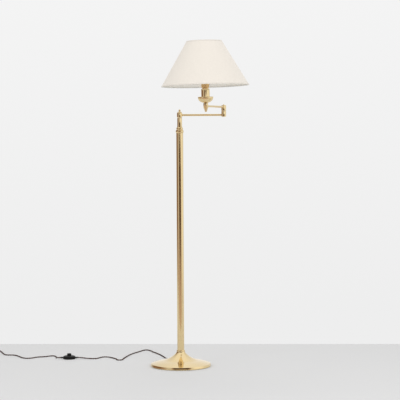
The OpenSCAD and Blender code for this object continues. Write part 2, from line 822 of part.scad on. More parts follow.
module elbow_pin() {
    bottom = lower_knuckle_z + 3.1;
    color(dark_brass) difference() {
        at_elbow() {
            translate([0, 0, bottom]) cylinder(r = rod_r, h = upper_knuckle_top - bottom);
            translate([0, 0, upper_knuckle_top]) cylinder(r = elbow_stud_r, h = elbow_stud_len);
        }
        at_elbow() translate([0, 0, lower_arm_z - bore_r])
            cylinder(r = bore_r, h = upper_arm_z - lower_arm_z + 2 * bore_r);
        translate([0, 0, lower_arm_z]) rod_x(cross_hole_r, arm_reach - rod_r - 1, arm_reach);
        along_upper_arm() translate([0, 0, upper_arm_z]) rod_x(cross_hole_r, 0, rod_r + 1);
    }
}

module elbow_washer() {
    color(ceramic) at_elbow() translate([0, 0, lower_knuckle_z + knuckle_h + end_gap])
        washer(knuckle_r - 1, rod_r + seat_gap, washer_h);
}

module elbow_finial() {
    ball_r = elbow_ball_d / 2;
    flange_r = knuckle_r - 3;
    flange_h = 1.8;
    color(brass) at_elbow() translate([0, 0, upper_knuckle_top + end_gap]) difference() {
        rotate_extrude() polygon(concat(
            [[0, 0], [flange_r, 0]],
            [for (t = [0 : 0.125 : 1])
                bend([flange_r, 0.5], [flange_r * 0.9, flange_h], [ball_r * 0.8, flange_h], t)],
            arc(0, flange_h + ball_r * 0.6, ball_r, -36, 90, 12)
        ));
        translate([0, 0, -1]) cylinder(r = elbow_stud_r + seat_gap, h = elbow_stud_len + 1.3);
    }
}

// ---- Upper arm and cup --------------------------------------------------------------------------

module upper_knuckle() {
    color(brass) along_upper_arm() difference() {
        translate([0, 0, upper_knuckle_z]) barrel(knuckle_r, knuckle_h, 1.2);
        translate([0, 0, upper_knuckle_z - 1]) cylinder(r = rod_r + run_gap, h = knuckle_h + 2);
        translate([0, 0, upper_arm_z - chamber_half_h])
            cylinder(r = knuckle_chamber_r, h = 2 * chamber_half_h);
        translate([0, 0, upper_arm_z]) rod_x(arm_r + seat_gap, knuckle_chamber_r - 0.5, knuckle_r + 1);
    }
}

module upper_arm_tube() {
    from = knuckle_chamber_r + 0.2;
    color(brass) along_upper_arm() translate([from, 0, upper_arm_z]) rotate([0, 90, 0])
        tube(arm_r, arm_wall, arm_reach - rod_r - 0.3 - from);
}

module upper_arm_lead() {
    color(flex_brown) in_cup() {
        rod_x(lead_r, stub_reach + 0.4 - arm_reach, 0);
        sphere(r = lead_r);
        cylinder(r = lead_r, h = nipple_top + 0.5);
    }
}

module cup_hub() {
    tip_r = 5;
    bottom = -cup_down - drop_h;
    color(brass) in_cup() difference() {
        rotate_extrude() polygon(concat(
            [[0, bottom]],
            arc(tip_r - 3, bottom + 3, 3, -90, 0, 6),
            [for (t = [0.1 : 0.1 : 1]) bend(
                [tip_r, bottom + 3], [cup_r - 4.5, bottom + 9], [cup_r - 1, -cup_down - 1], t
            )],
            [[cup_r, -cup_down], [cup_r, cup_up - 1], [cup_r - 1, cup_up], [0, cup_up]]
        ));
        translate([0, 0, -nipple_down - 0.3]) cylinder(r = rod_r + seat_gap, h = cup_up + nipple_down + 2);
        rod_x(arm_r + seat_gap, -cup_r - 1, 0);
    }
}

module cup_nipple() {
    color(dark_brass) in_cup() difference() {
        translate([0, 0, -nipple_down]) cylinder(r = rod_r, h = nipple_top + nipple_down);
        translate([0, 0, -bore_r]) cylinder(r = bore_r, h = nipple_top + bore_r + 1);
        rod_x(cross_hole_r, -rod_r - 1, 0);
    }
}

module drip_dish() {
    rim_z = dish_z + dish_h;
    outer = concat(
        [for (a = [75 : -5 : 0]) [bowl_r * cos(a), rim_z - dish_h * sin(a)]], [[bowl_r, rim_z + 3]]
    );
    color(brass) in_cup() rotate_extrude() {
        polygon(concat(
            [[rod_r + seat_gap, dish_z]], outer,
            [[bowl_r - spun_wall, rim_z + 3]],
            [for (a = [0 : 5 : 75]) [(bowl_r - spun_wall) * cos(a), rim_z - (dish_h - spun_wall) * sin(a)]],
            [[rod_r + seat_gap, dish_z + spun_wall]]
        ));
        translate([bowl_r - spun_wall / 2, rim_z + 3]) circle(r = dish_bead_r + spun_wall / 2, $fn = 24);
    }
}

module sleeve() {
    from = dish_inner_z(sleeve_r) + 0.15;
    color(brass) in_cup() rotate_extrude() polygon(concat(
        [[sleeve_r - spun_wall, from], [sleeve_r, from]],
        arc(sleeve_r - 1.5, sleeve_top - 1.5, 1.5, 0, 90, 6),
        [
            [rod_r + seat_gap, sleeve_top], [rod_r + seat_gap, sleeve_top - spun_wall],
            [sleeve_r - spun_wall, sleeve_top - spun_wall]
        ]
    ));
}

// ---- Lampholder and bulb ------------------------------------------------------------------------

module holder_cap() {
    inner = holder_r - spun_wall;
    color(dark_brass) in_cup() rotate_extrude() polygon(concat(
        [
            [rod_r + seat_gap, sleeve_top + end_gap], [holder_foot_r, sleeve_top + end_gap],
            [holder_foot_r, holder_z]
        ],
        arc(holder_r - 2.5, holder_z + 2.5, 2.5, -90, 0, 6),
        [
            [holder_r, holder_cap_top], [inner, holder_cap_top], [inner, holder_z + spun_wall],
            [rod_r + seat_gap, holder_z + spun_wall]
        ]
    ));
}

// Outside of the threaded shell, one ridge after another
module holder_shell() {
    ridges = floor((holder_shell_h - 4) / thread_pitch);
    from = holder_cap_top + end_gap;
    root_r = holder_r - thread_ridge;
    color(dark_brass) in_cup() rotate_extrude() polygon(concat(
        [[root_r - spun_wall, from], [root_r, from], [root_r, from + 1]],
        [for (i = [0 : ridges - 1], k = [0 : 2])
            [root_r + (k == 1 ? thread_ridge : 0), from + 1 + (i + k / 2.2) * thread_pitch]],
        [[root_r, holder_top], [root_r - spun_wall, holder_top]]
    ));
}

module holder_insert() {
    color(ceramic) in_cup() difference() {
        translate([0, 0, holder_z + spun_wall + 2.6]) cylinder(r = insert_r, h = insert_h - 2.6);
        translate([0, 0, holder_z]) cylinder(r = lead_r + 0.4, h = 8);
    }
}

// The thread sleeve that the bulb screws into, and the bent strip under the bulb's tip
module holder_contacts() {
    color(copper) in_cup() {
        translate([0, 0, socket_z + 0.1]) tube(socket_r + 0.5, 0.5, socket_h);
        translate([-2, -3, socket_z]) {
            cube([4, 6, 0.6]);
            translate([0, 0, 0.6]) cube([4, 1.5, 1.5]);
            translate([0, 0, 1.7]) cube([4, 6, 0.6]);
        }
    }
}

module holder_rings() {
    color(brass) in_cup() for (z = [lower_ring_z, upper_ring_z])
        translate([0, 0, z]) difference() {
            barrel(shade_ring_d / 2, shade_ring_h, 1.5);
            translate([0, 0, -1]) cylinder(r = holder_r + loose_gap, h = shade_ring_h + 2);
        }
}

module bulb_cap() {
    turns = 5;
    cap_r = bulb_cap_d / 2;
    color(steel) in_cup() rotate_extrude() polygon(concat(
        [[0, cap_z - 1], [4.5, cap_z - 1], [5, cap_z], [cap_r - 1.5, cap_z + 2.5]],
        [for (i = [0 : turns - 1], k = [0 : 2])
            [cap_r - (k == 1 ? 0 : 1.1), cap_z + 3 + (i + k / 2.2) * 3.2]],
        [[cap_r - 1.1, glass_z], [0, glass_z]]
    ));
}

module bulb_glass() {
    color(opal) in_cup() rotate_extrude() polygon(concat(glass_line(0), reversed(glass_line(glass_wall))));
}

// Half the outline of the bulb's glass, from its foot to its top
function glass_line(inside) =
    let (
        r = bulb_d / 2 - inside,
        foot_r = bulb_cap_d / 2 + 0.3 - inside,
        ball_z = glass_z + 54
    )
    concat(
        [[foot_r, glass_z], [foot_r, glass_z + 2]],
        [for (t = [0.1 : 0.1 : 0.9])
            bend([foot_r, glass_z + 2], [foot_r + 3, glass_z + 20], [r * cos(35), ball_z - r * sin(35)], t)],
        arc(0, ball_z, r, -35, 90, 24)
    );

// ---- Shade --------------------------------------------------------------------------------------

// The space between two sloping skins of the shade, given by how far each lies inside the outside
module shade_skin(out, in, from, to) {
    rotate_extrude() polygon([
        [shade_r(from) - out, from], [shade_r(to) - out, to],
        [shade_r(to) - in, to], [shade_r(from) - in, from]
    ]);
}

module wire_ring(r, z) {
    rotate_extrude() translate([r, z]) circle(r = wire_d / 2, $fn = 24);
}

wire_inside = fabric_across + backing_across + wire_d / 2 * skin_across + 0.1;
top_wire_z = shade_top - wire_d / 2 - 0.3;
bottom_wire_z = shade_z + wire_d / 2 + 0.3;

module fitter_plate() {
    color(wire_white) in_cup() difference() {
        union() {
            translate([0, 0, fitter_z]) cylinder(r = fitter_plate_r, h = fitter_h);
            for (i = [0 : fitter_arms - 1]) rotate([0, 0, fitter_turn + 360 / fitter_arms * i])
                translate([fitter_plate_r - 3, -2, fitter_z]) cube([fitter_tab + 3, 4, fitter_h]);
        }
        translate([0, 0, fitter_z - 1]) cylinder(r = holder_r + loose_gap, h = fitter_h + 2);
    }
}

// Each arm stands on a tab of the plate and ends just short of the top ring that it is soldered to
module fitter_arms() {
    top_z = fitter_z + fitter_h;
    start = [fitter_plate_r + fitter_tab - 2, top_z];
    end = [shade_r(top_wire_z) - wire_inside, top_wire_z];
    run = end - start;
    color(wire_white) in_cup() for (i = [0 : fitter_arms - 1])
        rotate([0, 0, fitter_turn + 360 / fitter_arms * i]) difference() {
            translate([start[0], 0, start[1]]) rotate([0, atan2(run[0], run[1]), 0])
                translate([0, 0, -1]) cylinder(r = wire_d / 2 - 0.2, h = norm(run) - wire_d / 2 + 0.85);
            translate([start[0] - 5, -5, top_z - 10]) cube([10, 10, 10]);
        }
}

module shade_top_wire() {
    color(wire_white) in_cup() wire_ring(shade_r(top_wire_z) - wire_inside, top_wire_z);
}

module shade_bottom_wire() {
    color(wire_white) in_cup() wire_ring(shade_r(bottom_wire_z) - wire_inside, bottom_wire_z);
}

module shade_backing() {
    color(backing_white) in_cup()
        shade_skin(fabric_across, fabric_across + backing_across, shade_z, shade_top);
}

module shade_fabric() {
    color(ivory) in_cup() shade_skin(0, fabric_across, shade_z, shade_top);
}

// Tape folded over an edge: an outer band, a strip across the edge and an inner lip
module edge_tape(edge_z, into) {
    in = fabric_across + backing_across;
    end_z = edge_z + into * tape_h;
    over_z = edge_z - into * tape_wall;
    rotate_extrude() polygon([
        [shade_r(end_z), end_z], [shade_r(edge_z), edge_z],
        [shade_r(edge_z) - in, edge_z], [shade_r(edge_z) - in - 0.3, over_z],
        [shade_r(over_z) + tape_across, over_z], [shade_r(end_z) + tape_across, end_z]
    ]);
}

module shade_top_tape() {
    color(ivory) in_cup() edge_tape(shade_top, -1);
}

module shade_bottom_tape() {
    color(ivory) in_cup() edge_tape(shade_z, 1);
}

// ---- Foot switch --------------------------------------------------------------------------------

module at_screws() {
    for (side = [-1, 1]) translate([0, side * screw_y, 0]) children();
}

module switch_plate() {
    color(black) in_switch() difference() {
        cylinder(r = switch_r, h = switch_plate_h);
        at_screws() {
            translate([0, 0, -1]) cylinder(r = screw_r + seat_gap, h = switch_plate_h + 2);
            translate([0, 0, -1]) cylinder(r = screw_head_r + 0.2, h = screw_head_h + 1.1);
        }
    }
}

module switch_cover() {
    from = switch_plate_h;
    wall_top = 10.5;
    post_h = switch_h - 2.2 - from;
    crown_r = button_r + 4;
    outline = concat(
        [[crown_r, switch_h]],
        [for (t = [0.125 : 0.125 : 1]) bend(
            [crown_r, switch_h], [switch_r - 1, switch_h - 0.5], [switch_r, wall_top], t
        )],
        [[switch_r, from]]
    );
    hole_r = button_r + loose_gap;
    color(black) in_switch() difference() {
        union() {
            rotate_extrude() polygon(concat(
                [[hole_r, switch_h]], outline, reversed(beside(outline, switch_wall)),
                [[hole_r, switch_inner_top]]
            ));
            at_screws() translate([0, 0, from]) cylinder(r = 3.2, h = post_h);
        }
        at_screws() translate([0, 0, from - 1]) cylinder(r = screw_r + seat_gap, h = 7);
        for (side = [0, 180]) rotate([0, 0, side]) translate([0, 0, switch_cord_z])
            rod_x(gland_r + seat_gap, switch_r - 14, switch_r + 2);
    }
}

module switch_block() {
    slot_h = block_top - switch_plate_h;
    color(ceramic) in_switch() translate([-block_len / 2, -block_w / 2, switch_plate_h])
        difference() {
            cube([block_len, block_w, slot_h]);
            for (x = [5, block_len - 5], y = [5, block_w - 5]) translate([x, y, slot_h - 3])
                cylinder(r = 1.8, h = 4);
        }
}

module switch_glands() {
    color(black) in_switch() for (side = [0, 180]) rotate([0, 0, side])
        translate([gland_x, 0, switch_cord_z]) {
            difference() {
                rod_x(gland_r, block_len / 2 + 0.3 - gland_x, 0);
                rod_x(taper_bore_r, -gland_in - 5, 1);
            }
            cord_taper(gland_r, gland_out);
        }
}

module switch_screws() {
    color(steel) in_switch() at_screws() {
        translate([0, 0, 0.3]) cylinder(r = screw_head_r, h = screw_head_h - 0.3);
        translate([0, 0, 1]) cylinder(r = screw_r, h = switch_plate_h + 4);
    }
}

module switch_spring() {
    color(steel) in_switch() translate([0, 0, block_top + end_gap])
        tube(button_r - button_wall - 1, 1.2, button_top - button_wall - 2 * end_gap - block_top);
}

module switch_button() {
    inner = button_r - button_wall;
    from = button_flange_top - button_flange_h;
    color(black) in_switch() rotate_extrude() polygon(concat(
        [
            [inner, from], [button_flange_r, from],
            [button_flange_r, button_flange_top], [button_r, button_flange_top]
        ],
        arc(button_r - 3, button_top - 3.4, 3, 0, 70, 6),
        [[0, button_top], [0, button_top - button_wall], [inner, button_top - button_wall]]
    ));
}

// ---- Cord, coil and plug ------------------------------------------------------------------------

module cord_to_switch() {
    color(flex_brown) swept_tube(route_points(route_to_switch, 46), cord_r, cord_sides);
}

module cord_to_coil() {
    color(flex_brown) swept_tube(route_points(route_to_coil, 29), cord_r, cord_sides);
}

module cord_coil() {
    line = concat([coil_in], coil_line, [coil_out]);
    color(flex_brown) swept_tube(line, cord_r, coil_sides);
}

module cord_to_plug() {
    color(flex_brown) swept_tube(route_points(route_to_plug, 5), cord_r, cord_sides);
}

module cord_tie() {
    passes = [for (a = [tie_angle : 360 : coil_start + coil_sweep]) coil_r(a)];
    from = min(passes) - cord_r - 0.6;
    to = max(passes) + cord_r + 0.6;
    top = coil_high_z + cord_r + 0.3;
    color(flex_brown) translate([coil_pos[0], coil_pos[1], 0]) rotate([0, 0, tie_angle])
        difference() {
            translate([from - tie_wall, -tie_w / 2, 0])
                cube([to - from + 2 * tie_wall, tie_w, top + tie_wall]);
            translate([from, -tie_w / 2 - 1, tie_wall]) cube([to - from, tie_w + 2, top - tie_wall]);
        }
}

module plug_body() {
    nose_w = 26;
    tail_w = 15;
    round_r = 3;
    outline = concat(
        [[-tail_w / 2, 0], [tail_w / 2, 0]],
        [for (t = [0.2 : 0.2 : 1])
            bend([tail_w / 2, 0], [plug_w / 2, -1], [plug_w / 2, -plug_len * 0.45], t)],
        [[nose_w / 2, -plug_len * 0.7]],
        arc(nose_w / 2 - round_r, -plug_len + round_r, round_r, 0, -90, 4),
        arc(round_r - nose_w / 2, -plug_len + round_r, round_r, -90, -180, 4),
        [[-nose_w / 2, -plug_len * 0.7]],
        [for (t = [0 : 0.2 : 0.8])
            bend([-plug_w / 2, -plug_len * 0.45], [-plug_w / 2, -1], [-tail_w / 2, 0], t)]
    );
    color(black) {
        translate([plug_x, plug_y, 0]) difference() {
            linear_extrude(plug_t) polygon(outline);
            for (side = [-1, 1]) translate([side * pin_spacing / 2, -plug_len, plug_z])
                rotate([-90, 0, 0]) translate([0, 0, -1])
                    cylinder(r = pin_d / 2 - pin_step + seat_gap, h = pin_shank + 1.5);
        }
        translate([plug_x, plug_y, plug_z]) rotate([0, 0, 90]) cord_taper(cord_r + 2.6, taper_len);
    }
}

module plug_pins() {
    color(steel) for (side = [-1, 1])
        translate([plug_x + side * pin_spacing / 2, plug_y - plug_len - pin_len, plug_z])
            rotate([-90, 0, 0]) {
                cylinder(r = pin_d / 2, h = pin_len);
                cylinder(r = pin_d / 2 - pin_step, h = pin_len + pin_shank);
            }
}

// ---- The pieces ---------------------------------------------------------------------------------

base_pad();
base_cover();
base_weight();
base_nipple();
base_washer();
base_nut();
base_bushing();
foot_ring();
column_plug();
column_tube();
column_collar();
column_neck();
column_lead();
pivot_spindle();
pivot_washer();
finial();
swing_hub();
lower_arm_tube();
lower_arm_lead();
lower_knuckle();
knuckle_cap();
elbow_pin();
elbow_washer();
elbow_finial();
upper_knuckle();
upper_arm_tube();
upper_arm_lead();
cup_hub();
cup_nipple();
drip_dish();
sleeve();
holder_cap();
holder_shell();
holder_insert();
holder_contacts();
holder_rings();
bulb_cap();
bulb_glass();
fitter_plate();
fitter_arms();
shade_top_wire();
shade_bottom_wire();
shade_backing();
shade_fabric();
shade_top_tape();
shade_bottom_tape();
switch_plate();
switch_cover();
switch_block();
switch_glands();
switch_screws();
switch_spring();
switch_button();
cord_to_switch();
cord_to_coil();
cord_coil();
cord_to_plug();
cord_tie();
plug_body();
plug_pins();
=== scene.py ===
"""Bridge floor lamp in polished brass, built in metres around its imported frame.

The cord, the base, the column, the two swing arms, the cup with its lampholder and the shade are each
made by an operator. Their outlines are written in millimetres, as in the part's own source.
"""

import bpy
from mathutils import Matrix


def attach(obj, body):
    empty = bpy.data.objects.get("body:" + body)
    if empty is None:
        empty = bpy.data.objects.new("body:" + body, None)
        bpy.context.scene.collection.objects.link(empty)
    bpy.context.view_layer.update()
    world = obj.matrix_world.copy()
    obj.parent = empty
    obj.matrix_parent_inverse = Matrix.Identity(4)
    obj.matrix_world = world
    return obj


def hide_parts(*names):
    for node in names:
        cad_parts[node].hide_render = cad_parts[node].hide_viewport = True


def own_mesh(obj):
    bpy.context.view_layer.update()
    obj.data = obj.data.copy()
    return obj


bl_info = {
    "name": "Bridge floor lamp",
    "version": (1, 0, 0),
    "blender": (4, 5, 0),
    "location": "3D View > Sidebar > Floor lamp",
    "description": "Builds a polished brass floor lamp with a double swing arm around its packed frame",
    "category": "Object",
}

from functools import cache
from math import asin, atan, ceil, cos, degrees, floor, hypot, pi, radians, sin, sqrt, tan

import bmesh
import bpy
from bpy.props import FloatProperty, FloatVectorProperty, IntProperty, PointerProperty
from bpy.types import Operator, Panel, PropertyGroup
from mathutils import Matrix, Vector

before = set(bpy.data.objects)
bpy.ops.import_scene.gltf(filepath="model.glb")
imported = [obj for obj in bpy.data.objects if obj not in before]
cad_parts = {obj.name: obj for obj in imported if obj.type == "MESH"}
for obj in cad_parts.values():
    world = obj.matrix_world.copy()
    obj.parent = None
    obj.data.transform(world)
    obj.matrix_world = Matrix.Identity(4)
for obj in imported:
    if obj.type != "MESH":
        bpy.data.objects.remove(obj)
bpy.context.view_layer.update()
MM = 0.001


def linear(colour):
    """Turn an sRGB hex colour into the linear values that shaders take."""
    parts = [int(colour[i : i + 2], 16) / 255 for i in (1, 3, 5)]
    return tuple(c / 12.92 if c <= 0.04045 else ((c + 0.055) / 1.055) ** 2.4 for c in parts)


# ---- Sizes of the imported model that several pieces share, in millimetres ------------------------

BASE_R, BASE_H, NOSE_R, RIM_H = 147.5, 75, 5, 14
SADDLE_R, SADDLE_H, NECK_R, COVER_WALL = 86, 29, 20.5, 1.2
COLUMN_R, COLUMN_WALL, COLUMN_FOOT, COLUMN_TOP = 17, 1.2, 62, 1141
COLLAR_R, SHOULDER_Z, SHOULDER_R, COLLAR_TOP = 19.5, 1156, 16.5, 1175
SPINDLE_NECK_R, NECK_TOP = 11.8, 1214
HUB_R, HUB_Z, HUB_TOP = 13, 1215, 1242
ARM_R, ARM_WALL, ARM_REACH, ARM_FOLD = 5, 1, 215, 65.8
LOWER_ARM_Z, UPPER_ARM_Z = 1228.5, 1267.5
KNUCKLE_R, KNUCKLE_H, LOWER_KNUCKLE_Z, UPPER_KNUCKLE_Z = 11.5, 26.5, 1221, 1248.5
ROD_R, LEAD_R, SEAT, RUN, END_GAP = 5, 2.5, 0.05, 0.03, 0.1
CUP_R, CUP_UP, CUP_DOWN, DROP_H, CUP_LEAN = 11.5, 14, 8, 19.5, 1.4
DISH_Z, DISH_H, DISH_BOWL_R = 14.1, 25, 36.3
SLEEVE_R, SLEEVE_TOP, SPUN_WALL = 20.2, 82, 1
HOLDER_R, HOLDER_Z, HOLDER_CAP_TOP, HOLDER_TOP = 19, 86.1, 105.6, 137.6
RING_R, RING_H, RING_LEVELS, RING_BORE_R, FITTER_Z = 27, 5, (116.6, 123.3), HOLDER_R + 0.25, 121.7
BULB_CAP_R, BULB_CAP_Z, GLASS_Z, GLASS_R = 13.2, 109, 133, 30
SHADE_R, SHADE_TOP_R, SHADE_Z, SHADE_TOP = 208, 83.5, 95.7, 307.2
WIRE_R = 1.5
SWITCH_X, SWITCH_Y, SWITCH_R, SWITCH_H, SWITCH_PLATE_H = -569.5, 238, 31, 17.5, 2.5
BUTTON_R, BUTTON_TOP, BUTTON_FLANGE_R, BUTTON_BORE_R = 11, 28, 12.8, 9
SPRING_Z, SPRING_R, SPRING_WIRE_R = 10, 7.35, 0.6
SWITCH_SLEEVE_X, SWITCH_SLEEVE_R, SWITCH_SLEEVE_LEN = 29.5, 4.1, 14
SWITCH_CORD_X, SWITCH_CORD_Z = 22.8, 7
SWITCH_EXIT_X = SWITCH_SLEEVE_X + SWITCH_SLEEVE_LEN
CORD_R, EXIT_ANGLE, EXIT_Z = 3, 112, 9.2
TAPER, TAPER_BORE_R, TAPER_TIP_R = 20, CORD_R + 0.2, CORD_R + 0.7
BUSHING_R, BUSHING_FLANGE_R, BUSHING_FLANGE_X, EXIT_REACH = 4, 5, 147.65, 169.35
COIL_X, COIL_Y, COIL_TURNS, COIL_PITCH, COIL_START = -1012, 500, 4.25, 6.6, 90
COIL_SWEEP = 360 * COIL_TURNS
COIL_INNER_R = 33 - COIL_PITCH * COIL_TURNS / 4
COIL_OUTER_R = COIL_INNER_R + COIL_PITCH * COIL_TURNS / 2
COIL_LOW, COIL_HIGH, TIE_ANGLE = 4, 10.6, 300
PLUG_X, PLUG_TAPER_Y, PLUG_Y, PLUG_LEN, PLUG_W, PLUG_Z = COIL_X - COIL_OUTER_R, 455, 435, 35, 35, 6.85
PIN_R, PIN_LEN, PIN_SPACING, PIN_ROOT_R, PIN_ROOT_LEN = 2, 19, 19, 1.5, 9

ARM_HEADING = radians(180 + ARM_FOLD)
CUP_X = ARM_REACH + ARM_REACH * cos(ARM_HEADING)
CUP_Y = ARM_REACH * sin(ARM_HEADING)

# Turned pieces stand upright; these lay them along +X or +Y
ALONG_X = Matrix.Rotation(pi / 2, 4, "Y")
ALONG_Y = Matrix.Rotation(-pi / 2, 4, "X")
AT_EXIT = Matrix.Rotation(radians(EXIT_ANGLE), 4, "Z") @ Matrix.Translation((0, 0, EXIT_Z))
AT_ELBOW = Matrix.Translation((ARM_REACH, 0, 0))
UPPER_ARM = AT_ELBOW @ Matrix.Rotation(ARM_HEADING, 4, "Z")
IN_CUP = (
    Matrix.Translation((CUP_X, CUP_Y, UPPER_ARM_Z))
    @ Matrix.Rotation(ARM_HEADING, 4, "Z")
    @ Matrix.Rotation(radians(CUP_LEAN), 4, "X")
)
IN_SWITCH = Matrix.Translation((SWITCH_X, SWITCH_Y, 0))

# The cord's routes on the floor, the same points as in the part's source
LYING = CORD_R + 0.1
EXIT_WAY = Vector((cos(radians(EXIT_ANGLE)), sin(radians(EXIT_ANGLE)), 0))
INTO_SLEEVE = 5
ROUTE_TO_SWITCH = [
    (-73, 193, 6), (-79, 222, 3.4), (-90, 268), (-108, 332), (-131, 392), (-152, 443),
    (-158.3, 463.1), (-172.5, 492.9), (-181.3, 506.3), (-194.5, 507.2), (-205.4, 494.7),
    (-211, 480.2), (-229, 440), (-251, 394), (-270, 336), (-284, 272), (-293, 220), (-295.7, 197.4),
    (-296.4, 186.4), (-305.6, 174.8), (-317, 174.1), (-325.5, 183.5), (-325.9, 201.4), (-338, 224),
    (-352, 248), (-368, 267), (-386, 276), (-402, 274), (-414, 258), (-424, 237), (-438, 223),
    (-456, 223), (-475, 230, 3.3), (-496, 236, 4.8),
]
ROUTE_TO_COIL = [
    (-635, 248, 6), (-638, 271, 4), (-644, 298), (-656, 317), (-674, 318), (-689, 304), (-706, 292),
    (-724, 287), (-740, 279), (-753, 262), (-768, 248), (-785, 243), (-802, 253), (-817, 274),
    (-831, 302), (-845, 328), (-861, 347), (-880, 355), (-899, 356), (-914, 370), (-925, 400),
    (-936, 434), (-947, 470), (-959, 503), (-972, 526, 3.3), (-986, 537, 3.8),
]


# ---- Settings ------------------------------------------------------------------------------------


class LampSizes(PropertyGroup):
    """Sizes that may change while every piece stays in its place."""

    steps: IntProperty(
        name="Steps round", description="Facets round the larger turned pieces", default=128, min=48, max=256
    )
    strand_d: FloatProperty(
        name="Strand", description="Diameter of one strand of the cord", default=0.0035, unit="LENGTH"
    )
    twist: FloatProperty(
        name="Twist", description="Length of one full turn of the cord's strands", default=0.02, unit="LENGTH"
    )
    thread: FloatProperty(
        name="Thread", description="Spacing of the shade's threads", default=0.0009, unit="LENGTH"
    )
    lens: FloatProperty(
        name="Lens", description="Focal length of the camera", default=128.07, subtype="DISTANCE_CAMERA"
    )


class LampColours(PropertyGroup):
    """Colours of the finishes."""

    brass: FloatVectorProperty(
        name="Brass", description="Polished brass", subtype="COLOR", default=linear("#F0D8A6")
    )
    aged_brass: FloatVectorProperty(
        name="Aged brass", description="Lampholder and rods", subtype="COLOR", default=linear("#EBC68C")
    )
    cloth: FloatVectorProperty(
        name="Shade cloth", description="Ivory cotton", subtype="COLOR", default=linear("#EAE3D9")
    )
    # Partly painted light: white film, set paler than real film so that the inside of the shade looks lit by
    # light through the cloth
    lining: FloatVectorProperty(
        name="Shade lining", description="White film in the shade", subtype="COLOR", default=linear("#FDFAF3")
    )
    cord_brown: FloatVectorProperty(
        name="Brown strand", description="Braided cotton", subtype="COLOR", default=linear("#562E21")
    )
    cord_black: FloatVectorProperty(
        name="Black strand", description="Braided cotton", subtype="COLOR", default=linear("#151212")
    )
    plastic: FloatVectorProperty(
        name="Black plastic", description="Foot switch and plug", subtype="COLOR", default=linear("#161616")
    )
    floor: FloatVectorProperty(
        name="Floor", description="Studio floor", subtype="COLOR", default=linear("#DCDCDC")
    )
    backdrop: FloatVectorProperty(
        name="Backdrop", description="Wall behind the lamp", subtype="COLOR", default=linear("#F4F4F4")
    )


def sizes():
    """The sizes as they are set in the scene."""
    return bpy.context.scene.lamp_sizes


def colours():
    """The colours as they are set in the scene."""
    return bpy.context.scene.lamp_colours


# ---- Curves, in millimetres ----------------------------------------------------------------------


def arc(x, y, r, start, end, steps):
    """Points on an arc from one angle to another, in degrees."""
    angles = [radians(start + (end - start) * i / steps) for i in range(steps + 1)]
    return [(x + r * cos(a), y + r * sin(a)) for a in angles]


def circle(x, y, r, steps):
    """Points all round a circle."""
    return arc(x, y, r, 0, 360, steps)[:-1]


def bend(a, b, c, steps, skip=0):
    """Points on a quadratic curve from a to c, pulled towards b."""
    ts = [i / steps for i in range(skip, steps + 1)]
    return [tuple((1 - t) ** 2 * p + 2 * t * (1 - t) * q + t * t * s for p, q, s in zip(a, b, c)) for t in ts]


def cubic(a, b, c, d, steps):
    """Points on a cubic curve from a to d, pulled towards b and c."""
    ts = [i / steps for i in range(steps + 1)]
    return [
        tuple((1 - t) ** 3 * p + 3 * (1 - t) ** 2 * t * q + 3 * (1 - t) * t * t * s + t**3 * u
              for p, q, s, u in zip(a, b, c, d))
        for t in ts
    ]


def beside(line, wall):
    """The line shifted to its right-hand side by a sheet's thickness."""
    shifted = []
    for i, (x, y) in enumerate(line):
        before, after = line[max(i - 1, 0)], line[min(i + 1, len(line) - 1)]
        dx, dy = after[0] - before[0], after[1] - before[1]
        length = hypot(dx, dy)
        shifted.append((x + wall * dy / length, y - wall * dx / length))
    return shifted


def barrel(r, bore, low, high, rounding):
    """Outline of a turned barrel with rounded ends and a bore through it."""
    return [(bore, low), *arc(r - rounding, low + rounding, rounding, -90, 0, 10),
            *arc(r - rounding, high - rounding, rounding, 0, 90, 10), (bore, high)]


def chamber(bore, middle, r, half=4.3):
    """The hollow in a barrel's bore where the lead turns into the arm; it follows the barrel's outline."""
    return [(bore, middle + half), (r, middle + half), (r, middle - half), (bore, middle - half)]


def route_at(points, u):
    """A point of the smooth curve through all the points of a route."""
    k = min(int(u), len(points) - 2)
    t = u - k
    b, c = points[k], points[k + 1]
    a = points[k - 1] if k > 0 else 2 * b - c
    d = points[k + 2] if k < len(points) - 2 else 2 * c - b
    return b + 0.5 * t * ((c - a) + t * ((2 * a - 5 * b + 4 * c - d) + t * (3 * b - a - 3 * c + d)))


def smooth_route(points, per_span=12):
    """The smooth curve through a route; a point without a height lies on the floor."""
    points = [Vector(p if len(p) == 3 else (*p, LYING)) for p in points]
    count = (len(points) - 1) * per_span
    return [route_at(points, i / per_span) for i in range(count + 1)]


def even_line(line, spacing):
    """The same line, its points set a constant distance apart."""
    runs = [0.0]
    for a, b in zip(line, line[1:]):
        runs.append(runs[-1] + (b - a).length)
    count = ceil(runs[-1] / spacing)
    points, k = [], 0
    for i in range(count + 1):
        at = runs[-1] * i / count
        while k < len(line) - 2 and runs[k + 1] < at:
            k += 1
        t = (at - runs[k]) / max(runs[k + 1] - runs[k], 1e-9)
        points.append(line[k].lerp(line[k + 1], t))
    return points


def line_length(line):
    """Length along a line of points."""
    return sum((b - a).length for a, b in zip(line, line[1:]))


def frames(line, level=None):
    """Each point of a line with two directions across it: a level one, and the one square to it.

    A line that stands upright somewhere has its level direction given.
    """
    last = len(line) - 1
    for i, point in enumerate(line):
        along = (line[min(i + 1, last)] - line[max(i - 1, 0)]).normalized()
        side = along.cross(Vector((0, 0, 1))).normalized() if level is None else level
        yield point, side, side.cross(along)


# ---- Meshes --------------------------------------------------------------------------------------

# Points nearer than this are one point, in metres; radii below it, in millimetres, are on the axis
TOUCHING = 1e-6


